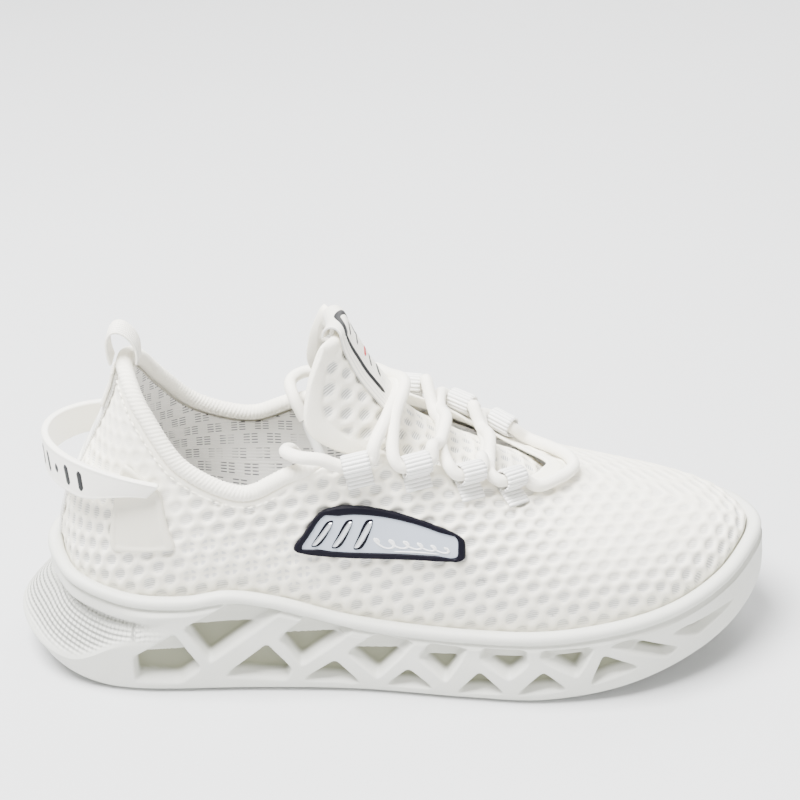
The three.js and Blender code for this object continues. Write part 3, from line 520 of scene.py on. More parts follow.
# shrunk sleeve on the cord's ends: clear and shiny
clearSleeve = grainedMaterial("clearAgletSleeve", "E9E9E6", 0.15, 300.0, 0.00003, 0.3, **{"Coat Weight": 0.5})
# formed stiffener sheet: plain, dull, faintly rough
stiffSheet = grainedMaterial("formedStiffener", "E4E3DE", 0.6, 800.0, 0.0001)
# knit face of the liner: soft, dull, fine loops
insoleCloth = grainedMaterial("insoleKnitFace", "E3E3DE", 0.9, 1500.0, 0.0003, 0.5)
# rolled knit edge of the collar: soft yarn with a slight sheen. Its slanting ribs are real geometry
bindingKnit = grainedMaterial("ribbedCollarKnit", "F7F3E6", 0.85, 2300.0, 0.0002, 0.5, **{"Sheen Weight": 0.2})


def makeMottled(name, roughness, scale, detail, dark, light, **more):
    # two close colours in soft patches
    material, tree, shader = newMaterial(name, light, roughness, **more)
    colour = mixColour(tree, noise(tree, scale, detail), linear(dark), linear(light))
    tree.links.new(colour, shader.inputs["Base Color"])
    return material


# printed film on the badge: light blue-grey, satin gloss, uneven in tone
inlayFilm = makeMottled("blueGreyGlossFilm", 0.4, 25.0, 2.0, "A5AEBD", "B9C0CB", **{"Specular IOR Level": 0.25})
# pressed fibre board: tan, with flecks
fibreBoard = makeMottled("pressedFibreBoard", 0.85, 900.0, 4.0, "BFB297", "D6CBB4")
print("materials made")


# midsole: one moulded piece, its side wall pressed in by the lattice of pockets
soleLook = {"outerStep": 0.43, "innerStep": 0.72, "coarseStep": 1.7,  # grid steps, finest on the outer side
            "deepLow": 8.2, "deepHigh": 6.4, "tallTop": 23,  # pockets whose top is over tallTop are shallower
            "corner": 0.7, "floor": 0.5, "rim": 7.0}  # roundness of corners and floors, sharpness of rims
# corners of the pockets on the side wall: along the shoe, and up from the ground
pockets = [[(-101, 6), (-84, 5), (-76, 12), (-85, 27), (-101, 17)], [(-72, 15), (-44, 37), (-63, 40.5), (-81, 30)],
           [(-66, 8), (-43, 6), (-41, 11), (-50, 22)], [(-37, 13), (-17, 29), (-35, 34), (-45, 25)],
           [(-36, 6), (-15, 5), (-24, 15)], [(-8, 8), (6, 25), (-9, 27), (-19, 19)], [(-4, 5), (13, 5), (4, 13)],
           [(18, 9), (26, 24), (12, 25), (8, 19)], [(23, 4), (40, 5), (31, 14)],
           [(42, 12), (49, 19), (48, 24.5), (32, 24.5), (31, 20)], [(46, 5), (64, 7), (55, 15)],
           [(68, 13), (74, 25), (54, 24.5), (54, 21)], [(74, 9), (92, 14), (78, 21)],
           [(104, 15), (108, 18), (89, 27), (80, 25)], [(117, 20), (133, 28), (105, 25)]]


def pocketDepth(x, z):
    total = np.zeros_like(x)
    look = soleLook
    for corners in pockets:
        c = np.array(corners, float)
        ahead = np.roll(c, -1, 0)
        if (c[:, 0] * ahead[:, 1] - c[:, 1] * ahead[:, 0]).sum() < 0:  # its corners run clockwise
            c = c[::-1]
        high = c[:, 1].max()
        isTall = high > look["tallTop"]
        deep = look["deepHigh"] if isTall else look["deepLow"]
        near = (x > c[:, 0].min() - 6) & (x < c[:, 0].max() + 6) & (z > c[:, 1].min() - 6) & (z < high + 6)
        px, pz = x[near], z[near]
        shares, widths = np.zeros_like(px), np.zeros_like(px)
        for a, b in zip(c, np.roll(c, -1, 0)):
            edge = unit(b - a)
            inward = np.array([-edge[1], edge[0]])
            inside = (px - a[0]) * inward[0] + (pz - a[1]) * inward[1] + look["corner"] * 0.7
            weight = np.exp(-np.clip(inside / look["corner"], -40, 40))
            shares += weight
            widths += weight * (1.15 + 3.0 * max(inward[1], 0) ** 1.5)  # lower walls lie flatter, as drafted ramps
        level = -np.log(shares) * look["corner"] * deep / (widths / shares)
        sharp = np.exp(-np.clip(level / look["floor"], -80, 80)) + math.exp(-deep / look["floor"])
        level = -np.log(sharp) * look["floor"]
        level = np.log1p(np.exp(np.clip(level * look["rim"], -40, 40))) / look["rim"]
        if isTall:  # a ledge along the upper half of the tall pockets
            middle = c[:, 1].min() + 0.6 * (high - c[:, 1].min()) + 0.06 * (px - c[:, 0].mean())
            level = level * (1 - 0.32 * smooth(middle - 0.3, middle + 0.3, pz))
        total[near] = np.maximum(total[near], level)
    return total


def makeSole():
    t = arcSpaced(lambda f: catmull(plan, f * stations, True), 4000, True) * stations
    at = catmull(plan, t, True)
    fine = np.where(at[:, 1] < 0, soleLook["outerStep"], soleLook["innerStep"])
    step = np.where((at[:, 0] > -106) & (at[:, 0] < 137), fine, soleLook["coarseStep"])
    share = np.cumsum(np.linalg.norm(at - np.roll(at, 1, 0), axis=1) / step)
    columns = int(share[-1]) // 2 * 2
    even = np.arange(columns) * share[-1] / columns
    t = np.interp(even, np.concatenate([[0], share]), np.concatenate([t, [stations]]))
    point, out = outline(t)
    x = point[:, 0]
    low, high, inset, flare = soleBottom(x), beadTop(x), beadInset(x), along(flareHeights, x)
    tall = high - low
    heel = 1 - smooth(-118, -84, x)
    cup = cupInset(x)
    # inset and height of each ring for the plain wall, then for the flared heel where it differs
    plainOrHeel = [
        ((11.4, low + 2.2), None), ((11.4, low + 0.3), None), ((10.6, low), None),
        ((4.6, low), (5.5, low)), ((1.9, low + 0.9), (2.4, low + 1.2)), ((0.5, low + 3.6), (0.9, low + 4)),
        ((0.1, low + tall * 0.28), (0.1, flare - 2.6)), ((0.3, low + tall * 0.48), (0.7, flare + 0.1)),
        ((0.8, low + tall * 0.62), (inset * 0.45 + 2.2, flare + (high - 13 - flare) * 0.5 + 0.8)),
        ((1.1, low + tall * 0.70), (inset + 3.6, high - 13.4)),
        ((1.2, low + tall * 0.745), (inset + 4.4, high - 12.3)),
        ((1.3, low + tall * 0.78), (inset + 1.6, high - 12.1)), ((1.3, high - 8.2), (inset - 0.3, high - 10.6)),
        ((1.4, high - 6.6), (inset - 0.2, high - 7.8)), ((inset * 0.4 + 1.2, high - 5.6), (inset + 0.3, high - 5.9)),
        ((inset + 0.5, high - 4.9), (inset + 1.2, high - 5.1)),
        ((inset - 0.4, high - 4.1), (inset - 0.3, high - 4.3)),
        ((inset - 1, high - 2.8), None), ((inset - 0.6, high - 1.1), None), ((inset + 0.6, high - 0.2), None),
        ((inset + 1.9, high), None), ((inset + 3.4, high - 0.5), None), ((inset + 4.6, high - 1.6), None),
        ((cup, high - 3.2), None), ((cup, high - 6), None), ((cup, footTop(x)), None)]
    keys = []
    for plain, flared in plainOrHeel:
        flared = flared or plain
        keys.append(np.stack([p + (q - p) * heel for p, q in zip(plain, flared)], -1))
    keys = np.array(keys)  # key, column, (inset, z)
    # rows of the grid between each ring and the next
    counts = [1, 1, 1, 3, 5, 12, 14, 9, 5, 3, 3, 5, 4, 2, 2, 2, 3, 2, 2, 2, 2, 2, 1, 1, 1]
    rows = np.concatenate([k + np.arange(n) / n for k, n in enumerate(counts)] + [[len(keys) - 1]])
    flat = catmull(keys.reshape(len(keys), -1), rows).reshape(len(rows), len(t), 2)
    flat[:3] = keys[:3]
    insets, z = flat[..., 0], flat[..., 1]
    px = point[None, :, 0] - out[None, :, 0] * insets
    depth = pocketDepth(px, z) * (1 - smooth(0.5, 0.95, heel))[None] * (z < high[None] - 4.2)
    # softens the steps that the grid leaves on slanting rims
    around = np.roll(depth, 1, 1) + np.roll(depth, -1, 1) + np.roll(depth, 1, 0) + np.roll(depth, -1, 0)
    depth = (depth * 6 + around) / 10
    inwards = out[None] * (insets + depth)[..., None]
    grid = np.concatenate([point[None] - inwards, z[..., None]], -1).transpose(1, 0, 2)
    waffleBand = smooth(6.9, 7.6, rows) * (1 - smooth(9.3, 9.8, rows))  # between the flare's edge and its neck
    hatchMask = (heel[None] * waffleBand[:, None]).T
    down = np.concatenate([0 * grid[:, :1, 0], np.cumsum(np.linalg.norm(np.diff(grid, axis=1), axis=2), 1)], 1)
    arc = np.arctan2(grid[..., 1], -(grid[..., 0] + 92)) * 48
    uv = np.stack([arc, down], -1)
    n, m = grid.shape[:2]
    faces = gridFaces(n, m, True).tolist()
    points = grid.reshape(-1, 3)
    # the recess underneath and the foot's bed
    faces += [strip[::-1] for strip in ringStrips(n, m, 0)] + ringStrips(n, m, m - 1)
    values = {"pocket": np.clip(depth.T / 6.6, 0, 1), "hatch": hatchMask}
    sole = newPiece("soleLattice", points, faces, foam, uv.reshape(-1, 2), values)
    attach(sole, "shoe")
    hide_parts("midsole")


makeSole()
print("sole made")


# upper: a knit sock with raised knots between open cells
upperLook = {"columns": 860, "rows": 98, "knot": 0.5, "dip": 0.9}  # grid, rise between cells, depth of cells


def weaveCoordinates(p):
    # cloth coordinates that stay even over the sides, the toe and the heel
    x, y, z = p[..., 0], np.abs(p[..., 1]), p[..., 2]
    toeward, heelward = smooth(92, 138, x), smooth(88, 122, -x)
    u = x - toeward * (z - 48) + heelward * (y - 33)
    s = (1 - toeward) * (z - 48) + (1 - heelward) * (33 - y)
    return np.stack([u, s / 1.08], -1)


def cellDistance(uv, look):
    near = []
    s = uv[..., 1] - look["rise"] * uv[..., 0]
    for shift in (0.5, 0.0):
        du = (np.mod(uv[..., 0] / look["pitchAlong"] + shift, 1) - 0.5) * look["pitchAlong"]
        ds = (np.mod(s * 0.5 / look["rowPitch"] + shift, 1) - 0.5) * 2 * look["rowPitch"]
        near.append(np.hypot(du, ds))
    return np.minimum(*near)


def cellHeight(uv, look, knot, dip):
    # sinks into each cell and swells between them
    d = cellDistance(uv, look)
    wall = smooth(look["hole"] - 0.9, look["hole"] + 0.8, d)
    return -dip * (1 - wall) + knot * wall * smooth(look["hole"], look["hole"] + 2.0, d) ** 0.7


def makeUpper():
    look = upperLook
    t = arcSpaced(lambda f: skin(f * stations, 0.25 + 0 * f), look["columns"], True) * stations
    v = np.concatenate([[-0.5, -0.12], arcSpaced(lambda f: skin(toe + 0 * f, f), look["rows"])])
    tt, vv = np.meshgrid(t, v, indexing="ij")
    p = skin(tt, vv)
    out = skinFrame(tt, vv)[2]
    uv = weaveCoordinates(p)
    rim = 1 - smooth(0.93, 0.985, vv)  # the sewn edges are smooth
    bottom = smooth(-0.02, 0.05, vv)
    x = p[..., 0]
    # cells are wide open low on the sides, faint on the vamp, and nearly closed at the collar's back corner
    vamp = 1 - 0.62 * smooth(38, 78, x) * smooth(0.1, 0.45, vv)
    corner = 1 - 0.75 * smooth(-66, -88, x) * smooth(0.5, 0.72, vv)
    window = smooth(-86, -76, x) * smooth(-22, -34, x) * smooth(0.08, 0.2, vv) * smooth(0.72, 0.58, vv)
    openShare = rim * bottom * vamp * corner
    h = cellHeight(uv, knitLook, look["knot"], look["dip"]) * openShare * (1 - 0.35 * window)
    p = p + out * h[..., None]
    # rolls the edge over and a little way down inside
    edge = skin(t, 1 + 0 * t)
    rise, out = skinFrame(t, 0.99 + 0 * t)[1:]
    rolls = [edge + rise * up - out * back
             for up, back in ((0.5, 0.25), (0.7, 0.8), (0.4, 1.3), (-1.5, 1.5), (-7, 1.6))]
    p = np.concatenate([p] + [q[:, None] for q in rolls], 1)
    extra = len(rolls)
    uv = np.concatenate([uv] + [uv[:, -1:]] * extra, 1)
    openShare, window = (np.concatenate([q] + [0 * q[:, -1:]] * extra, 1) for q in (openShare, window))
    upper = sheetPiece("knitUpper", p, knit, closed=True, uv=uv, values={"open": openShare, "window": window})
    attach(upper, "shoe")
    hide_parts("upper")


makeUpper()


def makeLining():
    look = {"around": 360, "up": 60, "front": 3.1, "back": 3.8, "lowest": -0.8}
    t = np.linspace(0, stations, look["around"], endpoint=False)
    fromHeel = np.minimum(t, stations - t)
    top = 0.985 - 0.15 * smooth(0, 0.9, fromHeel - collarEnd)
    share = np.linspace(0, 1, look["up"])
    tt = t[:, None] + 0 * share
    vv = look["lowest"] + (top[:, None] - look["lowest"]) * share[None]
    p, out = skin(tt, vv), skinFrame(tt, vv)[2]
    uv = weaveCoordinates(p)
    lining = sheetPiece("collarLining", p - out * look["front"], liningKnit, p - out * look["back"], closed=True, uv=uv)
    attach(lining, "shoe")
    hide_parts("lining")


makeLining()
print("upper and lining made")


# what repeats along a path: cords and rolled edges, stitches
def tubeTree(name, material):
    # sweeps a round section along the path and raises slanting plaits on it
    tree = bpy.data.node_groups.new(name, "GeometryNodeTree")
    face = tree.interface
    face.new_socket("Path", in_out="INPUT", socket_type="NodeSocketGeometry")
    sizes = {"Radius": 0.0024, "Plait Height": 0.0002, "Plait Pitch": 0.0016, "Turns": 3.0, "Crossed": 1.0}
    for key, value in sizes.items():
        face.new_socket(key, in_out="INPUT", socket_type="NodeSocketFloat").default_value = value
    face.new_socket("Sides", in_out="INPUT", socket_type="NodeSocketInt").default_value = 20
    face.new_socket("Tube", in_out="OUTPUT", socket_type="NodeSocketGeometry")
    given = addNode(tree, "NodeGroupInput").outputs
    curve = addNode(tree, "GeometryNodeMeshToCurve", {0: given["Path"]}).outputs[0]
    swell = addNode(tree, "GeometryNodeInputNamedAttribute", {"Name": "swell"}, data_type="FLOAT").outputs[0]
    place = addNode(tree, "GeometryNodeSplineParameter")
    onPath = addNode(tree, "GeometryNodeCaptureAttribute", {0: curve})
    onPath.capture_items.new("FLOAT", "distance")
    tree.links.new(place.outputs["Length"], onPath.inputs[1])
    ring = addNode(tree, "GeometryNodeCurvePrimitiveCircle",
                   {"Resolution": given["Sides"], "Radius": given["Radius"]})
    onRing = addNode(tree, "GeometryNodeCaptureAttribute", {0: ring.outputs[0]})
    onRing.capture_items.new("FLOAT", "angle")
    tree.links.new(place.outputs["Factor"], onRing.inputs[1])
    swept = addNode(tree, "GeometryNodeCurveToMesh", {
        "Curve": onPath.outputs[0], "Profile Curve": onRing.outputs[0], "Scale": swell, "Fill Caps": True})
    lengthwise = calc(tree, "DIVIDE", onPath.outputs[1], given["Plait Pitch"])
    turn = times(tree, onRing.outputs[1], given["Turns"])
    waves = [wave(tree, calc(tree, kind, turn, lengthwise), 1) for kind in ("ADD", "SUBTRACT")]
    crossed = times(tree, waves[0], waves[1])
    # slanting ribs where Crossed is 0, a two-way plait where it is 1
    relief = calc(tree, "ADD", times(tree, waves[0], calc(tree, "SUBTRACT", 1.0, given["Crossed"])),
                  times(tree, crossed, given["Crossed"]))
    height = times(tree, relief, given["Plait Height"])
    normal = addNode(tree, "GeometryNodeInputNormal").outputs[0]
    lift = addNode(tree, "ShaderNodeVectorMath", {0: normal, "Scale": height}, operation="SCALE").outputs[0]
    moved = addNode(tree, "GeometryNodeSetPosition", {"Geometry": swept.outputs[0], "Offset": lift})
    shaded = addNode(tree, "GeometryNodeSetShadeSmooth", {0: moved.outputs[0]})
    real = addNode(tree, "GeometryNodeRealizeInstances", {0: shaded.outputs[0]})
    painted = addNode(tree, "GeometryNodeSetMaterial", {"Geometry": real.outputs[0], "Material": material})
    addNode(tree, "NodeGroupOutput", {"Tube": painted.outputs[0]})
    return tree


def stitchTree(name, material):
    # lays short rounded stitches end to end along the path
    tree = bpy.data.node_groups.new(name, "GeometryNodeTree")
    face = tree.interface
    face.new_socket("Path", in_out="INPUT", socket_type="NodeSocketGeometry")
    for key, value in {"Pitch": 0.003, "Thread": 0.00045, "Length": 0.0021}.items():
        face.new_socket(key, in_out="INPUT", socket_type="NodeSocketFloat").default_value = value
    face.new_socket("Stitches", in_out="OUTPUT", socket_type="NodeSocketGeometry")
    given = addNode(tree, "NodeGroupInput").outputs
    curve = addNode(tree, "GeometryNodeMeshToCurve", {0: given["Path"]}).outputs[0]
    spaced = addNode(tree, "GeometryNodeCurveToPoints", {"Curve": curve, "Length": given["Pitch"]}, mode="LENGTH")
    ball = addNode(tree, "GeometryNodeMeshIcoSphere", {"Radius": 1.0, "Subdivisions": 2})
    thin = addNode(tree, "ShaderNodeCombineXYZ", {
        0: given["Thread"], 1: given["Thread"], 2: times(tree, given["Length"], 0.5)})
    lying = addNode(tree, "FunctionNodeAlignRotationToVector", {"Vector": spaced.outputs[1]}, axis="Z")
    placed = addNode(tree, "GeometryNodeInstanceOnPoints", {
        "Points": spaced.outputs[0], "Instance": ball.outputs[0],
        "Rotation": lying.outputs[0], "Scale": thin.outputs[0]})
    real = addNode(tree, "GeometryNodeRealizeInstances", {0: placed.outputs[0]})
    shaded = addNode(tree, "GeometryNodeSetShadeSmooth", {0: real.outputs[0]})
    painted = addNode(tree, "GeometryNodeSetMaterial", {"Geometry": shaded.outputs[0], "Material": material})
    addNode(tree, "NodeGroupOutput", {"Stitches": painted.outputs[0]})
    return tree


def fromEnds(path):
    # how many points each point of the path is from the nearer end
    steps = np.arange(len(path))
    return np.minimum(steps, steps[::-1])


def growAlong(name, path, tree, taper=0, **inputs):
    # runs the tree on the path and keeps the result as a plain mesh, its ends narrowed over so many points
    carrier = bpy.data.objects.new(name + "Path", bpy.data.meshes.new(name + "Path"))
    carrier.data.from_pydata((path * mm).tolist(), [(k, k + 1) for k in range(len(path) - 1)], [])
    swell = np.ones(len(path))
    if taper:
        swell = np.sqrt(np.clip(1 - (1 - np.clip(fromEnds(path) / taper, 0, 1)) ** 2, 0.02, 1))
    carrier.data.attributes.new("swell", "FLOAT", "POINT").data.foreach_set("value", swell)
    bpy.context.scene.collection.objects.link(carrier)
    modifier = carrier.modifiers.new("grow", "NODES")
    modifier.node_group = tree
    for item in tree.interface.items_tree:
        if item.in_out == "INPUT" and item.name in inputs:
            modifier[item.identifier] = inputs[item.name]
    bpy.context.view_layer.update()
    evaluated = carrier.evaluated_get(bpy.context.evaluated_depsgraph_get())
    mesh = bpy.data.meshes.new_from_object(evaluated)
    bpy.data.objects.remove(carrier)
    piece = bpy.data.objects.new(name, mesh)
    bpy.context.scene.collection.objects.link(piece)
    return piece


# collar binding: the knit's own edge, rolled over and ribbed on the slant
bindingLook = {"radius": 3.0, "seat": 3.3, "ribHeight": 0.17, "ribPitch": 1.6, "past": 0.62, "tuck": 2.2}
stitchLook = {"pitch": 3.1, "thread": 0.38, "length": 2.2, "place": 0.952, "reach": 4.6}


def bindingCentre(t):
    rise, out = skinFrame(t, 0.99 + 0 * np.asarray(t, float))[1:]
    return skin(t, 1) - out * 1.9 + rise * bindingLook["seat"]


def makeBinding():
    look = bindingLook
    reach = collarEnd + look["past"]
    t = np.linspace(-reach, reach, 120)
    tucked = smooth(97, 119, np.abs(np.arange(120) * 2 - 119))  # both ends sink behind the throat's corners
    path = bindingCentre(t) - np.array([0, 0, 1.0]) * (look["tuck"] * tucked)[:, None]
    binding = growAlong("collarBinding", smoothPath(path[::3], 0.4), tubeTree("rolledEdge", bindingKnit), 22, **{
        "Radius": look["radius"] * mm, "Plait Height": look["ribHeight"] * mm, "Plait Pitch": look["ribPitch"] * mm,
        "Turns": 4.0, "Crossed": 0.0, "Sides": 28})
    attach(binding, "shoe")
    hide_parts("collar_binding")


def makeCollarStitches():
    look = stitchLook
    seam = onSkin(np.linspace(-look["reach"], look["reach"], 500), look["place"], 0.25)
    stitches = growAlong("collarStitches", smoothPath(seam[::8], 0.6), stitchTree("runningStitch", bindingKnit), **{
        "Pitch": look["pitch"] * mm, "Thread": look["thread"] * mm, "Length": look["length"] * mm})
    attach(stitches, "shoe")


makeBinding()
makeCollarStitches()
print("collar binding made")


# lace and its webbing tabs
laceLook = {"radius": 2.4, "tabWidth": 10, "tabWall": 1.0, "tabBore": 3.25, "tabDrop": 1.5,
            "tabTail": 9.5, "webWidth": 10.2, "webRib": 0.22, "webPitch": 1.45,
            "plaitHeight": 0.16, "plaitPitch": 2.1}
tabOuter = laceLook["tabBore"] + laceLook["tabWall"]


def tabFrame(index, side):
    t = tabStations[index] if side < 0 else stations - tabStations[index]
    ahead = skinFrame(t, 0.98)[0]
    edge = skin(t, 1.0)
    rise = unit(edge - skin(t, 0.84))
    out = unit(np.cross(ahead, rise))
    ahead = np.cross(rise, out)
    if side > 0:
        ahead = -ahead
    return edge - rise * laceLook["tabDrop"] + out * (tabOuter + 0.6), ahead, rise, out


def laceHalf(side, over):
    points, at, half = [], side, laceLook["tabWidth"] / 2
    r = laceLook["radius"]
    lift = r + 2.6 if over else r + 0.9
    for index in range(len(tabStations) - 1, -1, -1):
        centre, ahead, rise, out = tabFrame(index, at)
        if index < len(tabStations) - 1:
            points.append(centre + ahead * (half + 2.6) + rise * 4.6 - out * 0.4)
            points.append(centre + ahead * (half + 1.5) + rise * 1.1)
        for forward in (half - 0.6, 0, -half + 0.6):
            points.append(centre + ahead * forward)
        if index == 0:
            break
        points.append(centre - ahead * (half + 1.5) + rise * 1.1)
        points.append(centre - ahead * (half + 2.6) + rise * 4.6 - out * 0.4)
        between = (centre[0] + tabFrame(index - 1, at)[0][0]) / 2
        leaning = ((0.5, -1.6), (0.0, -1.2), (-0.5, -3.0))
        if index == 1:  # the top crossing lies further forward
            leaning = ((0.5, 0.4), (0.0, 2.6), (-0.5, -1.2))
        for w, forward in leaning:
            rows = np.linspace(0.4, 5.6, 200)
            row = np.interp(-(between + forward), -tongueFace(rows, at * w + 0 * rows)[:, 0], rows)
            points.append(onTongue(row, at * w, lift + (1.2 if over and w == 0 else 0)))
        at = -at
    tuck = [(-28, 33.5, 99.5), (-35.5, 32.5, 100), (-40.5, 27, 99), (-39, 19.5, 95.5), (-35, 16, 88)]
    return points + [np.array([x, at * y, z]) for x, y, z in tuck]


def makeLace():
    look = laceLook
    bar = [onSkin(t, 0.93, 2.9) for t in (8.75, 9.6, 10.4, 11, 11.6, 12.4, 13.25)]  # straight across in front
    route = laceHalf(-1, True)[::-1] + bar + laceHalf(1, False)
    lace = growAlong("laceCord", smoothPath(route, 0.45), tubeTree("plaitedCord", cordBraid), **{
        "Radius": look["radius"] * mm, "Plait Height": look["plaitHeight"] * mm, "Plait Pitch": look["plaitPitch"] * mm,
        "Turns": 4.0, "Crossed": 1.0, "Sides": 20})
    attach(lace, "shoe")
    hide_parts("lace")


makeLace()


def ribbonSlab(name, middle, across, outward, width, thickness, material, rib, ribPitch, cross=9, ribsAcross=True):
    # a ribbon along a path: middle line, directions across and out of it, all as rows of vectors
    step = lengthAlong(middle)
    w = np.linspace(-0.5, 0.5, cross)
    ribLine = step[:, None] if ribsAcross else (w * width)[None]
    ribs = np.abs(np.sin(ribLine * math.pi / ribPitch))
    thinEdge = 1 - 0.35 * smooth(0.42, 0.5, np.abs(w))[None]
    front = (thickness / 2 * thinEdge + rib * (ribs - 0.5)) + 0 * step[:, None]
    grid = middle[:, None] + across[:, None] * (w * width)[None, :, None]
    uv = np.stack(np.broadcast_arrays(step[:, None], (w * width)[None]), -1)
    lift = outward[:, None] * front[..., None]
    return sheetPiece(name, grid + lift, material, grid - lift * 0.9, uv=uv)


tabWeave = makeWebbing("ribbedTabWebbing", "F7F6F2", 1.45, "u", 0.6, 0.0003)


def makeTab(index, side, sideName):
    look = laceLook
    centre, ahead, rise, out = tabFrame(index, side)
    radius = tabOuter - 0.5
    turn = np.radians(np.linspace(-88, 262, 60))  # 0 points down the tail, 90 outwards
    ring = centre - rise * (np.cos(turn) * radius)[:, None] + out * (np.sin(turn) * radius)[:, None]
    tail = ring[0] - rise * np.linspace(look["tabTail"], 0.4, 22)[:, None]
    path = smoothPath(np.concatenate([tail, ring])[::2], 0.3)
    outward = unit(np.cross(ahead, unit(np.gradient(path, axis=0))))
    if np.dot(outward[len(outward) // 2], path[len(path) // 2] - centre) < 0:
        outward = -outward
    across = np.broadcast_to(ahead, path.shape)
    name = f"laceTab{sideName.title()}{index + 1}"
    tab = ribbonSlab(name, path, across, outward, look["webWidth"], look["tabWall"],
                     tabWeave, look["webRib"], look["webPitch"])
    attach(tab, "shoe")
    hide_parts(f"lace_tab_{sideName}_{index + 1}")


for side, sideName in ((-1, "lateral"), (1, "medial")):
    for index in range(len(tabStations)):
        makeTab(index, side, sideName)
for name in ("aglet_medial", "aglet_lateral"):
    dress(name, clearSleeve)
print("lace and tabs made")


# tongue: one pad through the bend, with a smooth folded border round open mesh
tongueShape = {"rows": 170, "around": 132, "thickness": 5.0, "border": 5.5, "knot": 0.35, "dip": 1.0,
               "first": 0.05, "last": 6.98, "fold": 4.42}  # ends and bend, as rows of the table


def makeTongue():
    look = tongueShape
    span = look["last"] - look["first"]
    row = look["first"] + span * arcSpaced(lambda f: tongueFace(look["first"] + span * f, 0 * f), look["rows"])
    length = lengthAlong(tongueFace(row, 0 * row))
    fromTop = length[-1] - length
    # round section: over the front, round the edge, and back behind
    n = look["around"]
    turn = np.linspace(0, 2 * math.pi, n, endpoint=False)
    w = -np.sign(np.cos(turn)) * np.abs(np.cos(turn)) ** 0.62
    lift = np.sign(np.sin(turn)) * np.abs(np.sin(turn)) ** 0.45  # 1 on the front, -1 on the back
    rr, ww = np.meshgrid(row, w, indexing="ij")
    endRound = np.sqrt(np.clip(1 - (1 - np.clip(fromTop / 2.5, 0, 1)) ** 2, 0.02, 1))[:, None]
    half = look["thickness"] / 2
    offset = -half + lift[None] * half * endRound
    p = onTongue(rr, ww, offset)
    halfWidth = catmull(tongueRows, row)[:, 2][:, None]
    fromSide = (1 - np.abs(ww)) * halfWidth * 1.25  # about millimetres in from the tongue's side
    uv = np.stack([ww * halfWidth * 1.15, length[:, None] + 0 * ww], -1)
    inside = smooth(look["border"] - 0.8, look["border"] + 0.8, fromSide) * smooth(4, 6, fromTop)[:, None]
    h = cellHeight(uv, tongueLook, look["knot"], look["dip"]) * inside
    crease = -0.7 * np.exp(-((fromSide - look["border"]) / 0.7) ** 2) * smooth(3, 6, fromTop)[:, None]
    outward = onTongue(rr, ww, 0 * ww + 1) - onTongue(rr, ww, 0 * ww)
    p = p + outward * ((h + crease) * np.sign(lift)[None])[..., None]
    last = len(p) - 1
    points = p.reshape(-1, 3)
    faces = gridFaces(last + 1, n, False).tolist()
    faces += [[i * n + n - 1, i * n, (i + 1) * n, (i + 1) * n + n - 1] for i in range(last)]
    for base, turnBack in ((0, True), (last * n, False)):
        ring = [base + k for k in range(n)]
        for k in range(n // 2 - 1):
            quad = [ring[k], ring[k + 1], ring[n - k - 2], ring[n - k - 1]]
            faces.append(quad[::-1] if turnBack else quad)
    tongue = newPiece("tonguePad", points, faces, tongueKnit, uv.reshape(-1, 2), {"open": inside})
    turnOutwards(tongue)
    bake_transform(tongue)
    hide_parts("tongue_lower", "tongue_upper")


makeTongue()
print("tongue made")


# tongue ribbon with its printed outline
ribbonLook = {"width": 22, "thickness": 1.1, "seat": 0.6, "front": 60, "over": 26, "foldGap": 0.05,
              "topRadius": 2.5, "length": 42}


def ribbonPoint(step, w, offset):
    # step runs 0..1 up the front and 1..1.4 round the top, w is millimetres across
    look = ribbonLook
    foot = tongueShape["fold"] + look["foldGap"]
    row = foot + (tongueShape["last"] - foot) * np.minimum(step, 1)
    half = catmull(tongueRows, row)[..., 2]
    p = onTongue(row, w / half, 0 * row)
    out = onTongue(row, w / half, 0 * row + 1) - p
    flat = p + out * (look["seat"] + offset)[..., None]
    end = unit(onTongue(row, w / half, 0 * row) - onTongue(row - 0.025, w / half, 0 * row))
    turn = math.pi * np.clip(step - 1, 0, 1) / 0.4
    radius = look["topRadius"] + look["seat"] + offset
    over = p - out * look["topRadius"] + out * (radius * np.cos(turn))[..., None]
    over = over + end * (radius * np.sin(turn))[..., None]
    return np.where((step > 1)[..., None], over, flat)


def makeRibbon():
    look = ribbonLook
    step = np.concatenate([np.linspace(0, 1, look["front"]), np.linspace(1, 1.4, look["over"])[1:]])
    w = np.linspace(-look["width"] / 2, look["width"] / 2, 33)
    ss, ww = np.meshgrid(step, w, indexing="ij")
    edge = smooth(0.9, 1.0, np.abs(w) / (look["width"] / 2))[None]
    outer = ribbonPoint(ss, ww, look["thickness"] - 0.35 * edge + 0 * ss)
    inner = ribbonPoint(ss, ww, 0.0 * ss + 0.1 * edge)
    uv = np.stack([ww, ss * look["length"]], -1)
    weave = makeWebbing("ribbedTongueRibbon", "F8F4E8", 1.1, "u", 0.55, 0.00022)
    ribbon = sheetPiece("tongueRibbon", outer, weave, inner, uv=uv)
    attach(ribbon, "tongue_flap")
    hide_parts("tongue_ribbon")


makeRibbon()


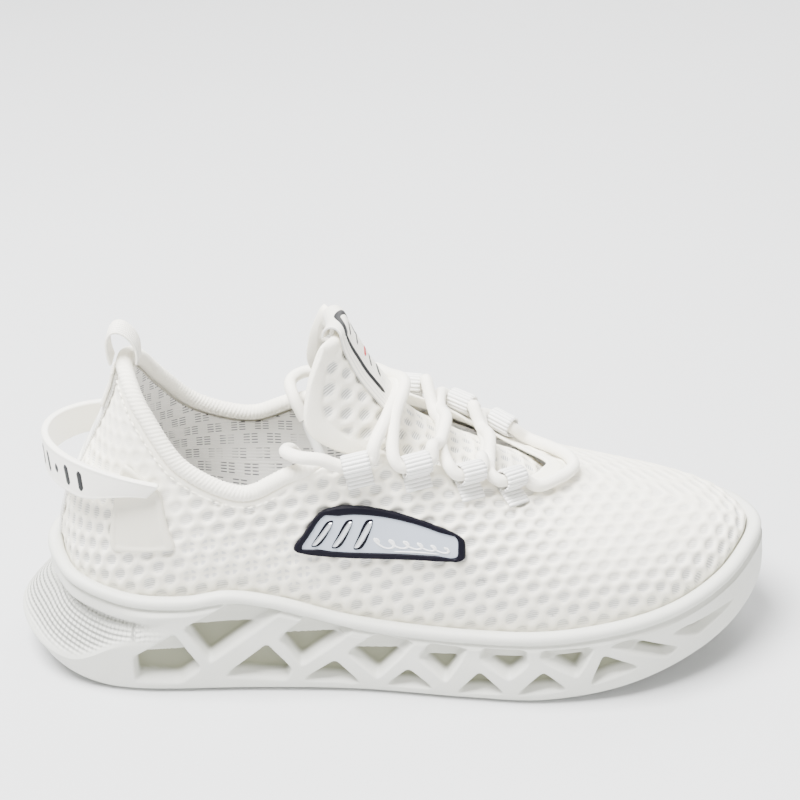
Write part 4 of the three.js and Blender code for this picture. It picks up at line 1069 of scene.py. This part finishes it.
def printLine(name, points, width, height, material, body, place):
    # a raised printed line: points are (a, b) on a surface, place(a, b, lift) gives the surface
    p = np.array(points, float)
    path = smoothPath(np.concatenate([p, 0 * p[:, :1]], 1), 0.35)[:, :2]
    run = unit(np.gradient(path, axis=0))
    side = np.stack([-run[:, 1], run[:, 0]], -1)
    taper = np.sqrt(np.clip(fromEnds(path) / 3.0, 0.12, 1))
    front, back = [], []
    for turn in np.linspace(0, math.pi, 5):  # a low arch across the line
        q = path - side * (math.cos(turn) * width / 2 * taper)[:, None]
        front.append(place(q[:, 0], q[:, 1], math.sin(turn) * height * taper + 0.02))
        back.append(place(q[:, 0], q[:, 1], -0.15 + 0 * taper))
    piece = sheetPiece(name, np.stack(front, 1), material, np.stack(back, 1))
    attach(piece, body)


def onRibbon(a, b, lift):
    return ribbonPoint(b / ribbonLook["length"], a, ribbonLook["thickness"] + lift)


def printRibbon():
    # a rounded outline, heavy round its top, with short generic strokes inside
    sideUp = [(6.6, 3), (6.8, 12), (7.0, 22), (7.3, 32), (6.8, 40), (3.8, 46.5)]
    loop = [(-a, b) for a, b in sideUp] + [(0, 48.5)] + sideUp[::-1]
    top = [(-6.9, 38), (-5, 44.5), (0, 47.6), (5, 44.5), (6.9, 38)]
    lines = [("ribbonOutline", loop, 1.5, 0.12, blackInk), ("ribbonOutlineTop", top, 3.2, 0.14, blackInk)]
    strokes = [(-4.4, 35, 6, 4), (0.5, 31, 3.4, 5), (-3.6, 28, 6.5, 2.5), (-3.2, 12, 5, 3.4), (-2.8, 6.5, 5.4, 2.2)]
    for k, (x, y, dx, dy) in enumerate(strokes):
        bent = [(x, y), (x + dx * 0.5, y + dy * 0.5 + 0.9), (x + dx, y + dy)]
        lines.append((f"ribbonStroke{k + 1}", bent, 1.3, 0.1, blackInk))
    lines.append(("ribbonRedMark", [(-3, 19), (0.2, 20.6), (3.2, 19.4)], 2.4, 0.12, redInk))
    for name, points, width, height, ink in lines:
        printLine(name, points, width, height, ink, "tongue_flap", onRibbon)


printRibbon()
print("ribbon made")


# heel: tape, pull loop, strap and its two patches
tapeLook = {"half": 0.36, "halfWidth": 4.2, "from": 0.03, "to": 0.96, "ribPitch": 1.5, "rib": 0.25}
loopLook = {"halfSpan": 6.5, "foot": 4.75, "reach": 14, "lean": 1.8, "width": 10.4, "legWidth": 9.6,
            "thickness": 1.2, "legThickness": 1.1, "rib": 0.16, "ribPitch": 1.55}
strapLook = {"height": 14, "thickness": 2.7, "station": 2.62, "lateralPlace": 0.71, "medialPlace": 0.735,
             "offSkin": 2.7, "backEdge": 133, "backDrop": -6.5, "bars": 12, "barPitch": 5.6}
tapeRibs = makeWebbing("slantRibbedTape", "F4F3EE", 1.3, "u", 0.7, 0.00025)


def roundedField(corners, columns, rows, rounding):
    # the four-cornered field with rounded corners, as a grid that crowds towards its rim and follows the rounding
    spread = [np.linspace(-1, 1, k) for k in (columns, rows)]
    a, b = np.meshgrid(*(np.sin(f * math.pi / 2) * 0.5 + f * 0.5 for f in spread), indexing="ij")
    reach = np.maximum(np.abs(a), np.abs(b))
    angle = np.arctan2(b, a)
    k = 2 / rounding ** 0.5
    superRim = (np.abs(np.cos(angle)) ** k + np.abs(np.sin(angle)) ** k) ** (-1 / k)
    boxRim = 1 / np.maximum(np.abs(np.cos(angle)), np.abs(np.sin(angle)))
    shrink = 1 + (superRim / boxRim - 1) * reach
    a2, b2 = (a * shrink + 1) / 2, (b * shrink + 1) / 2
    c = np.array(corners, float)
    foot = c[0] + (c[1] - c[0]) * a2[..., None]
    top = c[3] + (c[2] - c[3]) * a2[..., None]
    field = foot + (top - foot) * b2[..., None]
    # millimetres from the rim, from the field's length and height on the shoe
    middles = ((c[0] + c[3]) / 2, (c[1] + c[2]) / 2), ((c[0] + c[1]) / 2, (c[3] + c[2]) / 2)
    spans = [np.linalg.norm(skin(*q) - skin(*r)) for q, r in middles]
    inward = np.minimum((1 - np.abs(a)) * spans[0], (1 - np.abs(b)) * spans[1]) / 2
    return field, inward


def skinSlab(name, corners, low, high, material, rounding, bevel, columns, rows, dish=0.0, border=2.0):
    # a slab on the upper between two heights, with a soft rim and, if it has a dish, a raised border
    field, inward = roundedField(corners, columns, rows, rounding)
    top = high - bevel * (1 - smooth(0, 0.8, inward)) ** 2 - dish * smooth(border - 0.35, border + 0.35, inward)
    outer = onSkin(field[..., 0], field[..., 1], top)
    inner = onSkin(field[..., 0], field[..., 1], low + 0 * inward)
    return sheetPiece(name, outer, material, inner, uv=weaveCoordinates(outer))


def makeHeelTape():
    look = tapeLook
    t, v = np.meshgrid(np.linspace(-look["half"], look["half"], 26),
                       np.linspace(look["from"], look["to"], 300), indexing="ij")
    flat = t / look["half"]
    p = onSkin(t, v, 0 * flat)
    up = lengthAlong(p[13])[None] + 0 * flat
    across = flat * look["halfWidth"]
    ribs = np.abs(np.sin((up + across) * math.pi / look["ribPitch"]))  # on the slant
    lift = 1.25 + look["rib"] * ribs - 0.5 * smooth(0.85, 1, np.abs(flat))
    uv = np.stack([up + across, across - up], -1)
    tape = sheetPiece("heelTape", onSkin(t, v, lift), tapeRibs, onSkin(t, v, 0.1 + 0 * flat), uv=uv)
    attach(tape, "shoe")
    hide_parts("heel_tape")


makeHeelTape()
loopWeave = makeWebbing("ribbedLoopWebbing", "F8F4E8", 1.5, "v", 0.5, 0.00025)


def makePullLoop():
    look = loopLook
    centre = bindingCentre(0.0) - skinFrame(0.0, 0.99)[1] * (bindingLook["seat"] - 3.6)
    angle = np.linspace(0, math.pi, 80)
    height = np.sin(angle)
    spread = look["halfSpan"] - (look["halfSpan"] - look["foot"]) * (1 - height) ** 2
    x = centre[0] - spread * np.cos(angle) - look["lean"] * height**2
    middle = np.stack([x, 0 * angle, centre[2] + (look["reach"] - 0.55) * height], -1)
    run = unit(np.gradient(middle, axis=0))
    outward = np.stack([-run[:, 2], 0 * angle, run[:, 0]], -1)
    sideways = np.array([0, 1.0, 0])
    arch = ribbonSlab("pullLoopArch", middle, np.broadcast_to(sideways, middle.shape), outward,
                      look["width"], look["thickness"], loopWeave, look["rib"], look["ribPitch"], 45, False)
    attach(arch, "pull_loop")
    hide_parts("heel_loop_arch")
    legs = (("pullLoopLegOuter", "heel_loop_leg_outer", 1.9), ("pullLoopLegInner", "heel_loop_leg_inner", -5.3))
    for name, node, lift in legs:
        v = np.linspace(0.76, 0.985, 30)
        path = onSkin(0 * v, v, lift + 0 * v)
        out = unit(np.cross(-sideways, unit(np.gradient(path, axis=0))))
        out = out * np.sign(np.dot(out[10], skinFrame(0.0, 0.8)[2]))
        leg = ribbonSlab(name, path, np.broadcast_to(sideways, path.shape), out,
                         look["legWidth"], look["legThickness"], loopWeave, look["rib"], look["ribPitch"], 37, False)
        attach(leg, "shoe")
        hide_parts(node)


makePullLoop()


def strapFrame(angle):
    # the strap's middle line from the outer side (angle 0) round the back to the inner side (pi)
    look = strapLook
    angle = np.asarray(angle, float)
    ends = (look["station"], look["lateralPlace"]), (stations - look["station"], look["medialPlace"])
    lateral, medial = (onSkin(t, v, look["offSkin"]) for t, v in ends)
    lateralRise, medialRise = (skinFrame(t, v)[1] for t, v in ends)
    middle = lateral + (medial - lateral) * ((1 - np.cos(angle)) / 2)[..., None]
    back = np.sin(angle)
    reach = middle[..., 0] + look["backEdge"]
    half = (medial[1] - lateral[1]) / 2
    out = unit(np.stack([-half * back, -reach * np.cos(angle), 0 * angle], -1))
    rise = np.where((np.cos(angle) < 0)[..., None], medialRise, lateralRise)
    stand = unit(rise + (np.array([0, 0, 1.0]) - rise) * back[..., None])
    middle = middle - np.stack([reach * back, 0 * back, look["backDrop"] * back], -1)
    out = unit(out - stand * (out * stand).sum(-1, keepdims=True))
    return middle, out, stand


def onStrap(angle, height, lift):
    middle, out, stand = strapFrame(angle)
    return middle + stand * np.asarray(height, float)[..., None] + out * np.asarray(lift, float)[..., None]


def onStrapFace(a, b, lift):
    reach = 34.0  # millimetres of strap for each radian, near the back
    return onStrap(math.pi / 2 + a / reach, b, strapLook["thickness"] / 2 - 0.05 + lift)


def makeStrap():
    look = strapLook
    angle = np.linspace(-0.02, math.pi + 0.02, 150)
    turn = np.linspace(0, 2 * math.pi, 40, endpoint=False)
    c, s = np.cos(turn), np.sin(turn)
    height = np.sign(s) * np.abs(s) ** 0.35 * look["height"] / 2
    lift = np.sign(c) * np.abs(c) ** 0.6 * look["thickness"] / 2
    thick = 1 + 0.35 * smooth(0.75, 0.95, np.abs(height) / (look["height"] / 2))  # a raised edge along both sides
    aa, hh = np.meshgrid(angle, height, indexing="ij")
    end = 1 - smooth(0.0, 0.62, np.minimum(aa, math.pi - aa))
    hh = hh * (1 - 0.5 * end) + 3.2 * end
    grid = onStrap(aa, hh, (lift * thick)[None] + 0 * aa)
    strap = sheetPiece("heelStrap", grid.transpose(1, 0, 2), strapPlastic, closed=True)
    turnOutwards(strap, fillEnds=True)
    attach(strap, "strap")
    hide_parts("heel_strap")
    for k in range(look["bars"]):  # slanted bars, every third one short
        x, half = -32 + k * look["barPitch"], 1.6 if k % 3 == 2 else 3.7
        slanted = [(x - 0.42 * half, -half), (x + 0.42 * half, half)]
        printLine(f"strapBar{k + 1}", slanted, 2.0, 0.16, blackInk, "strap", onStrapFace)


makeStrap()
patchCorners = [(2.55, 0.27), (3.32, 0.45), (2.8, 0.8), (1.95, 0.72)]
for name, node, corners in (("strapPatchLateral", "strap_patch_lateral", patchCorners),
                            ("strapPatchMedial", "strap_patch_medial", [(stations - t, v) for t, v in patchCorners])):
    patch = skinSlab(name, corners, 0.15, 1.5, filmPlastic, 0.06, 0.9, 64, 44, 0.35, 2.2)
    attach(patch, "shoe")
    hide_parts(node)
print("heel pieces made")


# badge on the outer side
badgeLook = {"corners": [(4.43, 0.49), (6.5, 0.42), (6.89, 0.6), (5.22, 0.79)], "edgeHeight": 2.1, "filmHeight": 1.5,
             "barFeet": [(4.86, 0.565), (5.1, 0.55), (5.34, 0.535)]}


def shrunk(corners, lengthwise, across):
    c = np.array(corners, float)
    return c + (c.mean(0) - c) * np.array([lengthwise, across])


def onBadge(a, b, lift):
    return onSkin(a / 18, b / 90, badgeLook["filmHeight"] + lift)  # about a millimetre and a half a unit


def makeBadge():
    look = badgeLook
    base = skinSlab("badgeEdge", look["corners"], 0.2, look["edgeHeight"], navyPlastic, 0.17, 0.9, 120, 64, 0.75, 2.7)
    inner = shrunk(look["corners"], 0.045, 0.13)
    film = skinSlab("badgeFilm", inner, 1.0, look["filmHeight"], inlayFilm, 0.17, 0.2, 120, 64)
    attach(base, "shoe")
    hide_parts("badge_base")
    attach(film, "shoe")
    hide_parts("badge_inlay")
    for k, (t, v) in enumerate(look["barFeet"]):
        around = [(t - 0.06, v - 0.02), (t + 0.075, v - 0.02), (t + 0.46, v + 0.128), (t + 0.325, v + 0.128)]
        corners = [(t - 0.03, v - 0.01), (t + 0.05, v - 0.01), (t + 0.43, v + 0.118), (t + 0.35, v + 0.118)]
        rim = skinSlab(f"badgeBarRim{k + 1}", around, 1.2, 1.75, navyPlastic, 0.3, 0.2, 24, 40)
        bar = skinSlab(f"badgeBar{k + 1}", corners, 1.3, 2.3, silverPlastic, 0.3, 0.5, 24, 40)
        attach(rim, "shoe")
        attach(bar, "shoe")
        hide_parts(f"badge_bar_{k + 1}")
    turn = np.linspace(0, 13.2, 84)  # a running scribble of loops, taller at its start
    tall = 1.5 + 1.3 * np.exp(-turn / 3)
    x = 18 * 5.6 + 1.18 * turn + 0.9 * np.cos(turn * 2.6)
    waves = np.stack([x, 90 * 0.54 - 0.3 * turn + tall * np.sin(turn * 2.6)], -1)
    printLine("badgeScript", waves, 0.62, 0.25, whitePaint, "shoe", onBadge)
    line = [(18 * 5.74 + k * 1.9, 90 * 0.492 - 0.28 * k) for k in range(6)]
    printLine("badgeUnderline", line, 0.55, 0.25, whitePaint, "shoe", onBadge)


makeBadge()
print("badge made")


# inside the shoe and underneath
linerLook = {"around": 220, "gap": 3.8, "edge": 1.5, "seat": 2.1,
             # inset and height of each ring, from the edge underneath over to the middle of the face
             "rings": [(0.9, 0.0), (0, 0.9), (0, 3.2), (0.5, 3.9), (1.4, 4.2), (4, 4.0), (10, 3.3), (18, 2.7),
                       (26, 2.4)]}


def makeSockliner():
    look = linerLook
    n, m = look["around"], len(look["rings"])
    point, out = outline(np.linspace(0, stations, n, endpoint=False))
    x = point[:, 0]
    low = footTop(x) + look["seat"]
    rim = cupInset(x) + look["gap"] + look["edge"]
    rings = [np.concatenate([point - out * (rim + inset)[:, None], (low + height)[:, None]], 1)
             for inset, height in look["rings"]]
    faces = gridFaces(n, m, True).tolist() + ringStrips(n, m, 0) + ringStrips(n, m, m - 1)
    liner = newPiece("linerPad", np.stack(rings, 1).reshape(-1, 3), faces, insoleCloth)
    turnOutwards(liner)
    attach(liner, "insole")
    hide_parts("sockliner")


makeSockliner()
for name, material in (("insole_board", fibreBoard), ("heel_counter", stiffSheet), ("toe_puff", stiffSheet),
                       ("outsole_heel", rubber), ("outsole_forefoot", rubber)):
    dress(name, material)
print("inner pieces made")


# floor, light and camera
def makeStage():
    # painted studio floor: pale grey, dull
    floorPaint = makeMottled("paleStudioFloor", 0.6, 3.0, 2.0, "C6C7C8", "CDCECF")
    bpy.ops.mesh.primitive_plane_add(size=60)
    floor = bpy.context.object
    floor.name = "studioFloor"
    floor.data.materials.append(floorPaint)
    # place, size and power of each softbox
    lights = {"key": ((-0.5, -0.1, 1.5), 0.8, 135), "fill": ((0.9, -1.5, 0.8), 1.6, 22),
              "back": ((0.5, 1.2, 1.1), 1.2, 30)}
    for name, (place, size, power) in lights.items():
        data = bpy.data.lights.new(name + "Softbox", "AREA")
        data.size = size
        data.energy = power
        lamp = bpy.data.objects.new(name + "Softbox", data)
        lamp.location = place
        lamp.rotation_euler = (Vector((0, 0, 0.06)) - Vector(place)).to_track_quat("-Z", "Y").to_euler()
        bpy.context.scene.collection.objects.link(lamp)
    world = bpy.data.worlds.new("studio")
    world.use_nodes = True
    sky = world.node_tree.nodes["Background"]
    sky.inputs["Color"].default_value = (1, 0.99, 0.96, 1)  # slightly warm
    sky.inputs["Strength"].default_value = 0.62
    bpy.context.scene.world = world


def makeCamera():
    look = {"place": (-0.01253, -0.53098, 0.40538), "yaw": 1.58, "down": 29.49, "lens": 72.26}
    data = bpy.data.cameras.new("camera")
    data.lens = look["lens"]
    data.sensor_width = 36
    camera = bpy.data.objects.new("camera", data)
    camera.location = look["place"]
    camera.rotation_euler = (math.radians(90 - look["down"]), 0, -math.radians(look["yaw"]))
    bpy.context.scene.collection.objects.link(camera)
    bpy.context.scene.camera = camera


makeStage()
makeCamera()
print("stage, lights and camera made")
